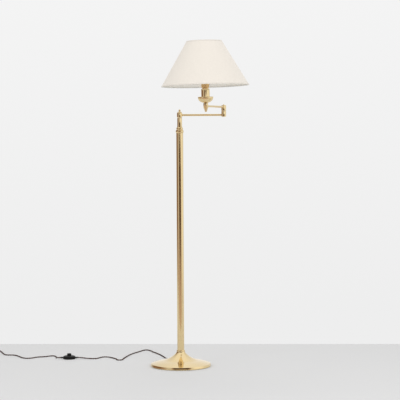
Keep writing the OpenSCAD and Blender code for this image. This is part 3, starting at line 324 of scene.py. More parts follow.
def finish_mesh(piece, sharp):
    """Shade a mesh smooth, with true edges where its faces meet at more than this angle."""
    bm = bmesh.new()
    bm.from_mesh(piece.data)
    bmesh.ops.recalc_face_normals(bm, faces=bm.faces)
    for face in bm.faces:
        face.smooth = True
    for edge in bm.edges:
        edge.smooth = edge.calc_face_angle(0) < radians(sharp)
    bm.to_mesh(piece.data)
    bm.free()
    return piece


def skin(name, shells, ends="joined", place=Matrix(), sharp=32):
    """A piece from shells, each a row of closed loops of points in millimetres.

    The last loop joins the first, or both are capped, or both stay open. The UV layer is in metres:
    round the loops, and along them.
    """
    bm = bmesh.new()
    metres = bm.loops.layers.uv.new("metres")
    for number, loops in enumerate(shells):
        rows = [[bm.verts.new((place @ Vector(p)) * MM) for p in loop] for loop in loops]
        count, total = len(rows[0]), len(rows)
        widest = max(rows, key=lambda row: (row[0].co - row[count // 2].co).length)
        around = [0.0]
        for k in range(count):
            around.append(around[-1] + (widest[k].co - widest[(k + 1) % count].co).length)
        along = [0.0]
        for i in range(total):
            along.append(along[-1] + (rows[i][0].co - rows[(i + 1) % total][0].co).length)
        for i in range(total if ends == "joined" else total - 1):
            row, after = rows[i], rows[(i + 1) % total]
            for k in range(count):
                j = (k + 1) % count
                face = bm.faces.new((row[k], row[j], after[j], after[k]))
                face.material_index = number
                for corner, (u, v) in zip(face.loops, ((k, i), (k + 1, i), (k + 1, i + 1), (k, i + 1))):
                    corner[metres].uv = (around[u], along[v])
        if ends == "capped":
            for row in (rows[0], rows[-1]):
                bm.faces.new(row).material_index = number
    bmesh.ops.remove_doubles(bm, verts=bm.verts, dist=TOUCHING)
    mesh = bpy.data.meshes.new(name)
    bm.to_mesh(mesh)
    bm.free()
    piece = bpy.data.objects.new(name, mesh)
    bpy.context.collection.objects.link(piece)
    return finish_mesh(piece, sharp)


def rounds(outline, steps, place=Matrix(), ripple=None):
    """Loops of an outline of (radius, height) turned on a lathe. ripple(angle, radius, height) gives
    the radius where the piece isn't quite round."""
    turns = [2 * pi * k / steps for k in range(steps)]
    loops = []
    for r, z in outline:
        radii = [ripple(a, r, z) if ripple else r for a in turns]
        loops.append([place @ Vector((q * cos(a), q * sin(a), z)) for q, a in zip(radii, turns)])
    return loops


def turned(name, *outlines, place=Matrix(), steps=None, ripple=None, sharp=32):
    """A piece turned on a lathe from closed outlines, or from ones that start and end on its axis."""
    shells = [rounds(outline, steps or sizes().steps, ripple=ripple) for outline in outlines]
    on_axis = outlines[0][0][0] < TOUCHING and outlines[0][-1][0] < TOUCHING
    return skin(name, shells, "open" if on_axis else "joined", place, sharp)


def swept(line, r, sides, level=None):
    """Loops of a round rod along a line."""
    turns = [2 * pi * k / sides for k in range(sides)]
    return [[point + r * (cos(a) * side + sin(a) * up) for a in turns]
            for point, side, up in frames(line, level)]


def pierce(piece, *cutters, sharp=32):
    """Cut real holes in a piece with other meshes, which are then gone."""
    for cutter in cutters:
        hole = piece.modifiers.new("hole", "BOOLEAN")
        hole.operation = "DIFFERENCE"
        hole.solver = "EXACT"
        hole.object = cutter
    shaped = piece.evaluated_get(bpy.context.evaluated_depsgraph_get())
    mesh = bpy.data.meshes.new_from_object(shaped)
    piece.modifiers.clear()
    piece.data = mesh
    mesh.name = piece.name
    for cutter in cutters:
        bpy.data.objects.remove(cutter)
    return finish_mesh(piece, sharp)


def drill(r, start, end, place):
    """A round cutter along +X between two distances."""
    return turned("drill", [(0, start), (r, start), (r, end), (0, end)], place=place @ ALONG_X, steps=48)


def dress(piece, finishes, body, *nodes):
    """Give a piece its materials and its body, and hide the CAD nodes that it stands for."""
    finishes = finishes if isinstance(finishes, tuple) else (finishes,)
    for finish in finishes:
        piece.data.materials.append(finish())
    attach(piece, body)
    if nodes:
        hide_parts(*nodes)
    return piece


# ---- Materials -----------------------------------------------------------------------------------

SOCKETS = {"ior": "IOR", "coat": "Coat Weight", "coat_roughness": "Coat Roughness", "sheen": "Sheen Weight",
           "specular": "Specular IOR Level"}


def solid(colour):
    """A colour with its alpha, as shader sockets take it."""
    return (*tuple(colour)[:3], 1.0)


def darker(colour, amount):
    """A colour at this share of its light; above 1 it is lighter."""
    return tuple(c * amount for c in tuple(colour)[:3])


def add(tree, kind, sockets=None, stops=None, **settings):
    """Add one node with its settings. A socket takes a constant, or an output to link from."""
    node = tree.nodes.new(kind)
    for key, value in settings.items():
        setattr(node, key, value)
    for key, value in (sockets or {}).items():
        if isinstance(value, bpy.types.NodeSocket):
            tree.links.new(value, node.inputs[key])
        else:
            node.inputs[key].default_value = value
    if stops:
        elements = node.color_ramp.elements
        while len(elements) < len(stops):
            elements.new(0.5)
        for element, (position, colour) in zip(elements, stops):
            element.position = position
            element.color = solid(colour)
    return node


def material(name, **constants):
    """A material with one principled shader, and constants set on the shader's own sockets."""
    made = bpy.data.materials.new(name)
    made.use_nodes = True
    tree = made.node_tree
    shader = tree.nodes["Principled BSDF"]
    for key, value in constants.items():
        shader.inputs[SOCKETS.get(key, key.capitalize())].default_value = value
    return made, tree, shader


def shade_by(tree, shader, factor, dark, light):
    """Colour a surface between two colours by a factor."""
    mix = add(tree, "ShaderNodeMix", {0: factor, 6: solid(dark), 7: solid(light)}, data_type="RGBA")
    tree.links.new(mix.outputs[2], shader.inputs["Base Color"])


def rough_by(tree, shader, factor, low, high):
    """Set the roughness between two values by a factor."""
    rough = add(tree, "ShaderNodeMapRange", {"Value": factor, "To Min": low, "To Max": high})
    tree.links.new(rough.outputs[0], shader.inputs["Roughness"])


def relief(tree, shader, height, strength, distance):
    """Raise the surface by a height map; distance in metres."""
    bump = add(tree, "ShaderNodeBump", {"Strength": strength, "Distance": distance, "Height": height})
    tree.links.new(bump.outputs[0], shader.inputs["Normal"])


def mottled(name, dark, light, mottle, grain=None, rough=None, bump=None, **constants):
    """A finish whose mottle runs through its colour and gloss, with the grain raised in its surface.

    The mottle and the grain are noises of (repeats in a metre, detail, distortion); without a grain the
    mottle is raised. rough is the lowest and the highest roughness, bump the relief's strength and distance.
    """
    made, tree, shader = material(name, **constants)
    place = add(tree, "ShaderNodeTexCoord").outputs["Object"]
    noises = []
    for noise in (mottle, grain) if grain else (mottle,):
        settings = dict(zip(("Scale", "Detail", "Distortion"), noise))
        noises.append(add(tree, "ShaderNodeTexNoise", {"Vector": place, **settings}).outputs["Fac"])
    shade_by(tree, shader, noises[0], dark, light)
    if rough:
        rough_by(tree, shader, noises[0], *rough)
    if bump:
        relief(tree, shader, noises[-1], *bump)
    return made


@cache
def polished_brass():
    """Brass, turned or spun, polished and lacquered: a warm mirror with hairlines round the turning."""
    made, tree, shader = material("polished lacquered brass", metallic=1.0, coat=0.25, coat_roughness=0.08)
    place = add(tree, "ShaderNodeTexCoord").outputs["Object"]
    cloud = add(tree, "ShaderNodeTexNoise", {"Vector": place, "Scale": 24.0, "Detail": 3.0}).outputs["Fac"]
    # Hairlines are 0.02 mm wide on the real piece, and 0.4 mm here, so that they show at all
    lines = add(tree, "ShaderNodeUVMap", uv_map="metres").outputs[0]
    fine = add(tree, "ShaderNodeVectorMath", {0: lines, 1: (40.0, 2500.0, 1.0)}, operation="MULTIPLY")
    hair = add(tree, "ShaderNodeTexNoise", {"Vector": fine.outputs[0], "Scale": 1.0, "Detail": 2.0})
    shade_by(tree, shader, cloud, darker(colours().brass, 0.95), colours().brass)
    rough_by(tree, shader, cloud, 0.06, 0.13)
    relief(tree, shader, hair.outputs["Fac"], 0.05, 0.0002)
    return made


@cache
def aged_brass():
    """Brass that was dipped and left unpolished: deeper orange, with a dull bloom in patches."""
    return mottled("aged brass", darker(colours().aged_brass, 0.84), colours().aged_brass, (140.0, 5.0),
                   (1800.0, 2.0), rough=(0.2, 0.36), bump=(0.08, 0.0002), metallic=1.0)


@cache
def cast_iron():
    """Grey cast iron, painted black: sand grain of the mould under the paint."""
    return mottled("painted cast iron", linear("#1E1F20"), linear("#3A3B3C"), (900.0, 6.0),
                   rough=(0.55, 0.8), bump=(0.5, 0.0005), metallic=0.0, specular=0.4)


@cache
def steel():
    """Zinc-plated steel: bluish grey, satin, with a faint cloud in the plating."""
    return mottled("zinc plated steel", linear("#A9ACB0"), linear("#CACDCF"), (320.0, 4.0),
                   rough=(0.24, 0.4), bump=(0.05, 0.0002), metallic=1.0)


@cache
def copper():
    """Nickel-brass contact strip: rolled, slightly pink."""
    return mottled("rolled copper alloy", linear("#B9805C"), linear("#D9A27C"), (400.0, 3.0),
                   rough=(0.25, 0.4), metallic=1.0)


@cache
def aluminium():
    """Pressed aluminium of the bulb's cap: pale grey, satin, fine press lines."""
    return mottled("pressed aluminium", linear("#C6C8C9"), linear("#E2E3E3"), (260.0, 3.0),
                   rough=(0.25, 0.38), metallic=1.0)


@cache
def coated_wire():
    """Steel wire, white powder coat: fine orange peel and a soft gloss."""
    return mottled("white powder coat", linear("#DFDFDC"), linear("#EFEFEC"), (1300.0, 2.0),
                   rough=(0.35, 0.48), bump=(0.2, 0.0002), ior=1.5)


@cache
def ceramic():
    """Steatite, glazed: off-white with fine specks under a clear glaze."""
    return mottled("glazed steatite", linear("#DCD5C8"), linear("#F0ECE4"), (700.0, 4.0), bump=(0.06, 0.0002),
                   ior=1.5, roughness=0.25, coat=0.6)


@cache
def opal_glass():
    """Blown glass, coated white inside: even milky white under a hard gloss."""
    return mottled("opal glass", linear("#EEEDE9"), linear("#F8F7F4"), (40.0, 2.0), ior=1.52, roughness=0.12,
                   coat=0.5)


@cache
def felt():
    """Pressed wool felt: matt, with a tangle of fibres that catches the light at a low angle."""
    # Wool fibres are 0.02 mm thick; their tangle is drawn at 0.6 mm
    return mottled("pressed wool felt", linear("#181A19"), linear("#3B3F3C"), (1600.0, 6.0, 1.5),
                   bump=(0.8, 0.0006), roughness=0.95, sheen=0.4)


@cache
def shade_film():
    """White styrene film of the lining: smooth with a low sheen, faint waviness of the lamination."""
    # Partly painted light: the lining's colour is paler than real film, for the light that comes through the
    # cloth
    return mottled("white styrene film", darker(colours().lining, 0.96), colours().lining, (45.0, 3.0),
                   rough=(0.5, 0.62), bump=(0.1, 0.0008), ior=1.5)


@cache
def studio_floor():
    """Painted studio floor: pale matt grey with a very slight mottle."""
    return mottled("pale painted floor", darker(colours().floor, 0.98), colours().floor, (1.5, 2.0),
                   roughness=0.75, specular=0.2)


def moulded(name, colour, low, high, grain, sheen=0.0, specular=0.5):
    """A moulded plastic with the eroded grain of its tool, and a little dust."""
    return mottled(name, colour, darker(colour, 1.35), (60.0, 4.0), (grain, 3.0), (low, high), (0.25, 0.0003),
                   ior=1.5, sheen=sheen, specular=specular)


@cache
def black_plastic():
    """Phenolic moulding: hard, deep black, with a soft gloss and an eroded grain of 0.5 mm."""
    return moulded("black moulded phenolic", colours().plastic, 0.3, 0.45, 2000.0, specular=0.15)


@cache
def black_rubber():
    """Soft PVC of the sleeves: black, duller than the hard plastic beside it."""
    return moulded("black soft pvc", linear("#1D1C1C"), 0.5, 0.65, 1500.0, 0.1)


@cache
def fibre_washer():
    """Nylon washer: milky white, waxy."""
    return moulded("natural nylon", linear("#DDD8CB"), 0.35, 0.5, 1200.0)


@cache
def lead_sheath():
    """PVC sheath of the inner lead: smooth brown plastic."""
    return moulded("brown pvc sheath", linear("#4A3328"), 0.35, 0.5, 900.0)


def woven(name, colour, spacing, sheen, contrast):
    """Plain weave: threads cross each other, one set round and one set up, with slubs along both."""
    made, tree, shader = material(name, roughness=0.88, sheen=sheen)
    cloth = add(tree, "ShaderNodeUVMap", uv_map="metres").outputs[0]
    # A wave texture repeats every 0.314 units at a scale of 1
    threads = {"Vector": cloth, "Scale": 0.314 / spacing, "Distortion": 0.6, "Detail": 1.0}
    warp, weft = (add(tree, "ShaderNodeTexWave", threads, bands_direction=way).outputs["Fac"] for way in "XY")
    checks = add(tree, "ShaderNodeMath", {0: warp, 1: weft}, operation="MULTIPLY").outputs[0]
    slubs = {}
    for socket, stretch in enumerate(((900.0, 35.0, 1.0), (35.0, 900.0, 1.0))):
        thread = add(tree, "ShaderNodeVectorMath", {0: cloth, 1: stretch}, operation="MULTIPLY")
        thick = add(tree, "ShaderNodeTexNoise", {"Vector": thread.outputs[0], "Scale": 1.0, "Detail": 2.0})
        slubs[socket] = thick.outputs["Fac"]
    slub = add(tree, "ShaderNodeMath", slubs, operation="ADD").outputs[0]
    tone = add(tree, "ShaderNodeMapRange", {"Value": slub, "From Min": 0.7, "From Max": 1.3})
    shade_by(tree, shader, tone.outputs[0], darker(colour, contrast), colour)
    height = add(tree, "ShaderNodeMath", {0: checks, 1: slub}, operation="ADD")
    relief(tree, shader, height.outputs[0], 0.35, spacing * 0.25)
    return made


@cache
def shade_cotton():
    """Ivory cotton, plain weave, laminated: threads of 0.45 mm are drawn at 0.9 mm so that they show."""
    return woven("ivory plain weave cotton", colours().cloth, sizes().thread, 0.15, 0.95)


@cache
def cotton_tape():
    """The same cotton, cut on the bias and glued over the edges: a little denser and darker."""
    return woven("ivory cotton tape", darker(colours().cloth, 0.94), sizes().thread * 0.8, 0.15, 0.92)


@cache
def tie_webbing():
    """Black hook and loop tape: matt loops in close rows."""
    return woven("black loop tape", linear("#1C1B1B"), 0.0012, 0.5, 0.6)


def braided(name, colour, fleck):
    """Braided cotton over a strand: two sets of threads cross at a slant, with a fleck in one."""
    made, tree, shader = material(name, roughness=0.9, sheen=0.1, specular=0.3)
    strand = add(tree, "ShaderNodeUVMap", uv_map="metres").outputs[0]
    # Threads are 0.3 mm wide on the real braid and 0.8 mm here
    slant = add(tree, "ShaderNodeMapping", {"Vector": strand, "Rotation": (0, 0, radians(45))}).outputs[0]
    braid = add(tree, "ShaderNodeTexChecker", {"Vector": slant, "Scale": 1250.0, "Color1": solid((1, 1, 1)),
                                               "Color2": solid((0, 0, 0))}).outputs["Fac"]
    fluff = add(tree, "ShaderNodeTexNoise", {"Vector": strand, "Scale": 2200.0, "Detail": 4.0}).outputs["Fac"]
    flecks = add(tree, "ShaderNodeMath", {0: braid, 1: fluff}, operation="MULTIPLY")
    shade_by(tree, shader, flecks.outputs[0], colour, fleck)
    height = add(tree, "ShaderNodeMath", {0: braid, 1: fluff}, operation="ADD")
    relief(tree, shader, height.outputs[0], 0.5, 0.0003)
    return made


@cache
def brown_cotton():
    """Brown braided cotton with a tan fleck."""
    return braided("brown braided cotton", colours().cord_brown, linear("#74452F"))


@cache
def black_cotton():
    """Black braided cotton, greyed a little by its fluff."""
    return braided("black braided cotton", colours().cord_black, linear("#231F1E"))


# The finish of each hidden piece that stays as the imported model has it
INNER_PARTS = {
    cast_iron: ("base_weight",),
    aged_brass: ("base_nipple", "base_nut", "pivot_spindle", "elbow_pin", "cup_nipple"),
    steel: ("base_washer", "column_plug", "switch_screws"),
    fibre_washer: ("pivot_washer", "elbow_washer"),
    lead_sheath: ("column_lead", "lower_arm_lead", "upper_arm_lead"),
    ceramic: ("holder_insert", "switch_block"),
    copper: ("holder_contacts",),
}


# ---- Stage and camera ----------------------------------------------------------------------------

# The floor's far edge is the line between floor and wall, level in the picture
FLOOR_CORNERS = [(-4.0, -1.35, 0), (4.0, -1.35, 0), (4.0, 0.612, 0), (-4.0, 0.859, 0)]
CAMERA_PLACE, CAMERA_PITCH, CAMERA_ROLL, SENSOR_WIDTH = (0.0975, -6.94, 1.125), 2.563, 0.26, 36
# Name, place, side and power of each softbox; they face the middle of the column
SOFTBOXES = (
    ("key", (1.9, -3.2, 2.6), 1.8, 30),
    ("fill", (-2.4, -3.0, 2.2), 1.8, 22),
    ("top", (0.3, 0.6, 3.6), 1.6, 14),
)
COLUMN_MIDDLE = Vector((0, 0, 0.9))

# Greys round the mirrored room by azimuth, from behind the lamp, by its left side, the open front and its
# right side. Beyond the laid floor the ground in front is warmer and darker than it is at the sides
GROUND = [(-180, 0.85), (-110, 0.8), (-80, 0.55), (-55, 0.62), (-30, 0.58), (5, 0.6), (25, 0.62), (50, 0.72),
          (90, 0.8), (180, 0.85)]
LEFT_SIDE = [(-180, 0.95), (-150, 0.7), (-125, 0.26), (-85, 0.22), (-68, 0.42), (-50, 0.66), (-38, 0.62)]
RIGHT_SIDE = [(45, 0.8), (60, 1.05), (85, 1.05), (106, 0.8), (140, 0.75), (180, 0.95)]
# The dark front of each zone above the ground, and the heights between which the zone takes over
FRONTS = (
    (-0.115, -0.065, [(-28, 0.3), (-23, 0.05), (20, 0.04), (27, 0.2), (36, 0.5)]),
    (-0.002, 0.006, [(-30, 0.3), (-26, 0.08), (-12, 0.08), (-5, 0.9), (10, 1.1), (30, 1.2)]),
    (0.08, 0.13, [(-30, 0.3), (-26, 0.07), (30, 0.07), (38, 0.4)]),
)
CEILING_FROM, CEILING_TO = 0.5, 0.85
# Painted shade on the wall: the share of its colour left at the floor, and the heights between which it
# darkens
WALL_DARK_AT, WALL_LIGHT_AT, WALL_SHADE = -0.12, 0.1, 0.945


class LAMP_OT_stage(Operator):
    """Lay the floor, light it and set the camera"""

    bl_idname = "lamp.stage"
    bl_label = "Stage and camera"

    def execute(self, context):
        scene = context.scene
        mesh = bpy.data.meshes.new("floor")
        mesh.from_pydata(FLOOR_CORNERS, [], [(0, 1, 2, 3)])
        mesh.materials.append(studio_floor())
        laid = bpy.data.objects.new("floor", mesh)
        context.collection.objects.link(laid)

        camera = bpy.data.objects.new("camera", bpy.data.cameras.new("camera"))
        camera.data.lens = sizes().lens
        camera.data.sensor_width = SENSOR_WIDTH
        camera.matrix_world = (
            Matrix.Translation(CAMERA_PLACE)
            @ Matrix.Rotation(pi / 2 - radians(CAMERA_PITCH), 4, "X")
            @ Matrix.Rotation(-radians(CAMERA_ROLL), 4, "Z")
        )
        context.collection.objects.link(camera)
        scene.camera = camera

        for name, place, side, power in SOFTBOXES:
            light = bpy.data.lights.new(name, "AREA")
            light.shape = "SQUARE"
            light.size = side
            light.energy = power
            box = bpy.data.objects.new(name, light)
            way = COLUMN_MIDDLE - Vector(place)
            box.matrix_world = Matrix.Translation(place) @ way.to_track_quat("-Z", "Y").to_matrix().to_4x4()
            box.visible_glossy = False
            context.collection.objects.link(box)

        self.light_world(scene)
        scene.view_settings.view_transform = "Standard"
        return {"FINISHED"}

    def light_world(self, scene):
        """Plain light for matt surfaces, the wall's colour for the camera, and a room for the brass."""
        world = bpy.data.worlds.new("studio")
        world.use_nodes = True
        scene.world = world
        tree = world.node_tree
        tree.nodes.clear()
        ray = add(tree, "ShaderNodeLightPath").outputs
        way = add(tree, "ShaderNodeTexCoord").outputs["Generated"]
        way = add(tree, "ShaderNodeSeparateXYZ", {"Vector": way}).outputs
        front = add(tree, "ShaderNodeMath", {0: way["Y"], 1: -1.0}, operation="MULTIPLY")
        turn = add(tree, "ShaderNodeMath", {0: way["X"], 1: front.outputs[0]}, operation="ARCTAN2")
        part = add(tree, "ShaderNodeMapRange", {"Value": turn.outputs[0], "From Min": -pi, "From Max": pi})
        part = part.outputs[0]

        room = self.tones(tree, part, GROUND, 0.2, 1.2)
        for low, high, dark in FRONTS:
            zone = self.tones(tree, part, [*LEFT_SIDE, *dark, *RIGHT_SIDE], 0.35, 1.65)
            room = self.rising(tree, way["Z"], low, high, room, zone)
        room = self.rising(tree, way["Z"], CEILING_FROM, CEILING_TO, room, solid((1, 1, 1)))
        mirrored = add(tree, "ShaderNodeBackground", {"Color": room, "Strength": 1.0})
        plain = add(tree, "ShaderNodeBackground", {"Color": solid((1, 1, 1)), "Strength": 0.8})
        # Painted shade: the wall is a little darker towards the floor
        shaded_wall = self.rising(tree, way["Z"], WALL_DARK_AT, WALL_LIGHT_AT,
                            solid(darker(colours().backdrop, WALL_SHADE)), solid(colours().backdrop))
        wall = add(tree, "ShaderNodeBackground", {"Color": shaded_wall, "Strength": 1.0})
        seen = add(tree, "ShaderNodeMath", {0: ray["Is Camera Ray"], 1: ray["Is Transmission Ray"]},
                   operation="MAXIMUM")
        lit = add(tree, "ShaderNodeMixShader", {0: ray["Is Glossy Ray"], 1: plain.outputs[0],
                                                2: mirrored.outputs[0]})
        last = add(tree, "ShaderNodeMixShader", {0: seen.outputs[0], 1: lit.outputs[0], 2: wall.outputs[0]})
        add(tree, "ShaderNodeOutputWorld", {"Surface": last.outputs[0]})

    def tones(self, tree, part, turns, green, blue):
        """A ramp round the room of greys by azimuth; the darker a grey, the browner it is."""
        stops = [((azimuth + 180) / 360, (g, g * min(1, green + g), g * min(1, blue * g)))
                 for azimuth, g in turns]
        return add(tree, "ShaderNodeValToRGB", {"Fac": part}, stops).outputs["Color"]

    def rising(self, tree, height, low, high, below, above):
        """One colour that turns into another between two heights."""
        rise = add(tree, "ShaderNodeMapRange", {"Value": height, "From Min": low, "From Max": high})
        mix = add(tree, "ShaderNodeMix", {0: rise.outputs[0], 6: below, 7: above}, data_type="RGBA")
        return mix.outputs[2]


# ---- Cord, foot switch and plug ------------------------------------------------------------------


def coil_r(a):
    """Radius of the coil's winding at an angle: it closes in to the middle of its sweep, and opens again."""
    return COIL_INNER_R + COIL_PITCH * abs(a - COIL_START - COIL_SWEEP / 2) / 360


def coil_line():
    """The coil's centre line: in along the lower layer, up in its middle half turn, and out again."""
    steps = round(COIL_TURNS * 72)
    points = []
    for i in range(steps + 1):
        a = COIL_START + COIL_SWEEP * i / steps
        past = min(max(a - COIL_START - COIL_SWEEP / 2, -90), 90)
        z = COIL_LOW + (COIL_HIGH - COIL_LOW) * (1 - cos(radians(past + 90))) / 2
        points.append(Vector((COIL_X + coil_r(a) * cos(radians(a)), COIL_Y + coil_r(a) * sin(radians(a)), z)))
    return points


def twisted(name, line):
    """Two strands twisted round a line, as one mesh, and the line with its points evened."""
    strand_r = sizes().strand_d / 2 / MM
    offset = CORD_R - strand_r
    line = even_line(line, 2.0)
    turn = 2 * pi * line_length(line) / (len(line) - 1) / (sizes().twist / MM)
    shells = []
    for start in (0, pi):
        strand = [point + offset * (cos(start + turn * i) * side + sin(start + turn * i) * up)
                  for i, (point, side, up) in enumerate(frames(line))]
        shells.append(swept(strand, strand_r, 10))
    return skin(name, shells, "capped", sharp=60), line


def ribbed_sleeve(root_r, length, start=0.0):
    """Outline along a strain relief: ribs and grooves that get smaller towards its tip."""
    pitch, collar, groove = 2.6, 1.6, 0.45
    outline = [(TAPER_BORE_R, start), (root_r, start), (root_r, start + collar)]
    for i in range(floor((length - collar - 2) / pitch)):
        at = start + collar + 0.2 + pitch * i
        r = root_r + (TAPER_TIP_R - root_r) * (at - start) / length
        outline += [(r - groove, at + 0.3), (r - groove, at + 0.8), (r, at + 1.1), (r - 0.04, at + 2.3)]
    end = start + length
    return outline + [(TAPER_TIP_R, end - 0.8), (TAPER_TIP_R - 0.25, end), (TAPER_BORE_R, end)]


class LAMP_OT_cord(Operator):
    """Lay the twisted cord from the base to the foot switch, and on to its coil and plug"""

    bl_idname = "lamp.cord"
    bl_label = "Twisted cord"

    def execute(self, context):
        up = Vector((0, 0, EXIT_Z))
        inside, tip = EXIT_WAY * (EXIT_REACH - INTO_SLEEVE) + up, EXIT_WAY * EXIT_REACH + up
        to_switch = smooth_route([inside, tip, tip + 14 * EXIT_WAY, *ROUTE_TO_SWITCH,
                                  *reversed(self.out_of_switch(1))])
        self.lay("cord_to_switch_strands", to_switch, ["cord_to_switch"], "fitting",
                 ["foot_switch_cover", "foot_switch_plate", "foot_switch_button", "foot_switch_sleeves",
                  "foot_switch_spring", "switch_block", "switch_screws"])

        coil = coil_line()
        to_coil = smooth_route([*self.out_of_switch(-1), *ROUTE_TO_COIL,
                                coil[0] + Vector((4 * CORD_R + 6, 0, 0)), coil[0] + Vector((6, 0, 0))])
        to_plug = smooth_route([*(coil[-1] - Vector((0, y, 0)) for y in (0, 6, 14)),
                                (PLUG_X, PLUG_TAPER_Y + 10, PLUG_Z + 0.8), (PLUG_X, PLUG_TAPER_Y, PLUG_Z),
                                (PLUG_X, PLUG_TAPER_Y - INTO_SLEEVE, PLUG_Z)])
        self.lay("cord_to_plug_strands", to_coil + coil + to_plug[1:],
                 ["cord_to_coil", "cord_coil", "cord_to_plug"], "plug",
                 ["cord_tie_band", "plug_housing", "plug_sleeve", "plug_two_pins"])
        return {"FINISHED"}

    def out_of_switch(self, side):
        """Points from inside the switch out of its sleeve and straight on."""
        return [(SWITCH_X + side * x, SWITCH_Y, SWITCH_CORD_Z)
                for x in (SWITCH_CORD_X, SWITCH_EXIT_X, SWITCH_EXIT_X + 8)]

    def lay(self, name, line, nodes, far_end, with_pieces):
        piece, line = twisted(name, line)
        dress(piece, (brown_cotton, black_cotton), "stand", *nodes)
        line_length(line) * MM
        [tuple(p * MM) for p in line]


class LAMP_OT_foot_switch(Operator):
    """Build the foot switch in the cord"""

    bl_idname = "lamp.foot_switch"
    bl_label = "Foot switch"

    def execute(self, context):
        wall, screw_y, screw_r, screw_head_r = 1.6, 21, 1.55, 2.9
        top, low, edge, crown, hole = SWITCH_H, SWITCH_PLATE_H, SWITCH_R, BUTTON_R + 4, BUTTON_R + 0.25
        dome = [(crown, top), *bend((crown, top), (edge - 1, top - 0.5), (edge, 10.5), 28, 1)]
        seam = [(edge, 8.6), (edge - 0.35, 8.3), (edge - 0.35, 7.8), (edge, 7.5), (edge, low)]
        inner = beside([*dome, (edge, low)], wall)
        rim = [(hole, top - 0.5), (hole + 0.5, top), (crown - 1.6, top), (crown - 1.2, top - 0.4),
               (crown - 0.6, top - 0.4), (crown - 0.2, top)]
        cover = turned("foot_switch_cover", [*rim, *dome, *seam, *inner[::-1], (hole, top - wall)],
                       place=IN_SWITCH)
        ends = [IN_SWITCH @ Matrix.Rotation(turn, 4, "Z") @ Matrix.Translation((0, 0, SWITCH_CORD_Z))
                for turn in (0, pi)]
        pierce(cover, *(drill(SWITCH_SLEEVE_R + SEAT, 17, 33, end) for end in ends))
        dress(cover, black_plastic, "stand", "switch_cover")

        plate = turned("foot_switch_plate", [
            (0, 0.25), (edge - 3, 0.25), (edge - 2.6, 0), (edge - 0.8, 0),
            *arc(edge - 0.8, 0.8, 0.8, -90, 0, 6), (edge, low), (0, low)], place=IN_SWITCH)
        hole = [(0, -1), (screw_head_r, -1), (screw_head_r, 1.6), (screw_r, 1.6), (screw_r, 4), (0, 4)]
        pierce(plate, *(turned("drill", hole, place=IN_SWITCH @ Matrix.Translation((0, y, 0)), steps=32)
                        for y in (-screw_y, screw_y)))
        dress(plate, black_plastic, "stand", "switch_plate")

        # Each sleeve goes on inside the cover
        sleeve, inside = ribbed_sleeve(SWITCH_SLEEVE_R, SWITCH_SLEEVE_LEN), 6.4
        sleeve = [(r, z - inside) for r, z in sleeve[:2]] + sleeve[1:]
        at_sleeve = Matrix.Translation((SWITCH_SLEEVE_X, 0, 0)) @ ALONG_X
        sleeves = skin("foot_switch_sleeves", [rounds(sleeve, 40, end @ at_sleeve) for end in ends])
        dress(sleeves, black_rubber, "stand", "switch_glands")

        flange, top = SWITCH_H - 1.7, BUTTON_TOP
        button = turned("foot_switch_button", [
            (BUTTON_BORE_R, flange - 2), (BUTTON_FLANGE_R, flange - 2), (BUTTON_FLANGE_R, flange),
            (BUTTON_R, flange), (BUTTON_R, top - 3), *arc(BUTTON_R - 2.6, top - 3, 2.6, 0, 78, 10),
            (6.4, top - 0.18), (6.2, top - 0.55), (5.4, top - 0.55), (5.2, top - 0.1), (3.4, top - 0.05),
            (3.2, top - 0.45), (2.4, top - 0.45), (2.2, top - 0.02), (0, top), (0, top - 2),
            (BUTTON_BORE_R, top - 2)], place=IN_SWITCH)
        dress(button, black_plastic, "foot_button", "switch_button")

        # Turns and heights of the spring: its first and last turns are wound closer
        heights = ((0, SPRING_Z + 0.6), (1, SPRING_Z + 2.2), (4.5, top - 4.3), (5.5, top - 2.7))
        wire = []
        for (a, low), (b, high) in zip(heights, heights[1:]):
            steps = round((b - a) * 40)
            for k in range(steps):
                turn, z = 2 * pi * (a + (b - a) * k / steps), low + (high - low) * k / steps
                wire.append(Vector((SPRING_R * cos(turn), SPRING_R * sin(turn), z)))
        spring = skin("foot_switch_spring", [swept(wire, SPRING_WIRE_R, 10)], "capped", IN_SWITCH)
        dress(spring, steel, "stand", "switch_spring")
        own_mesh(spring)
        return {"FINISHED"}


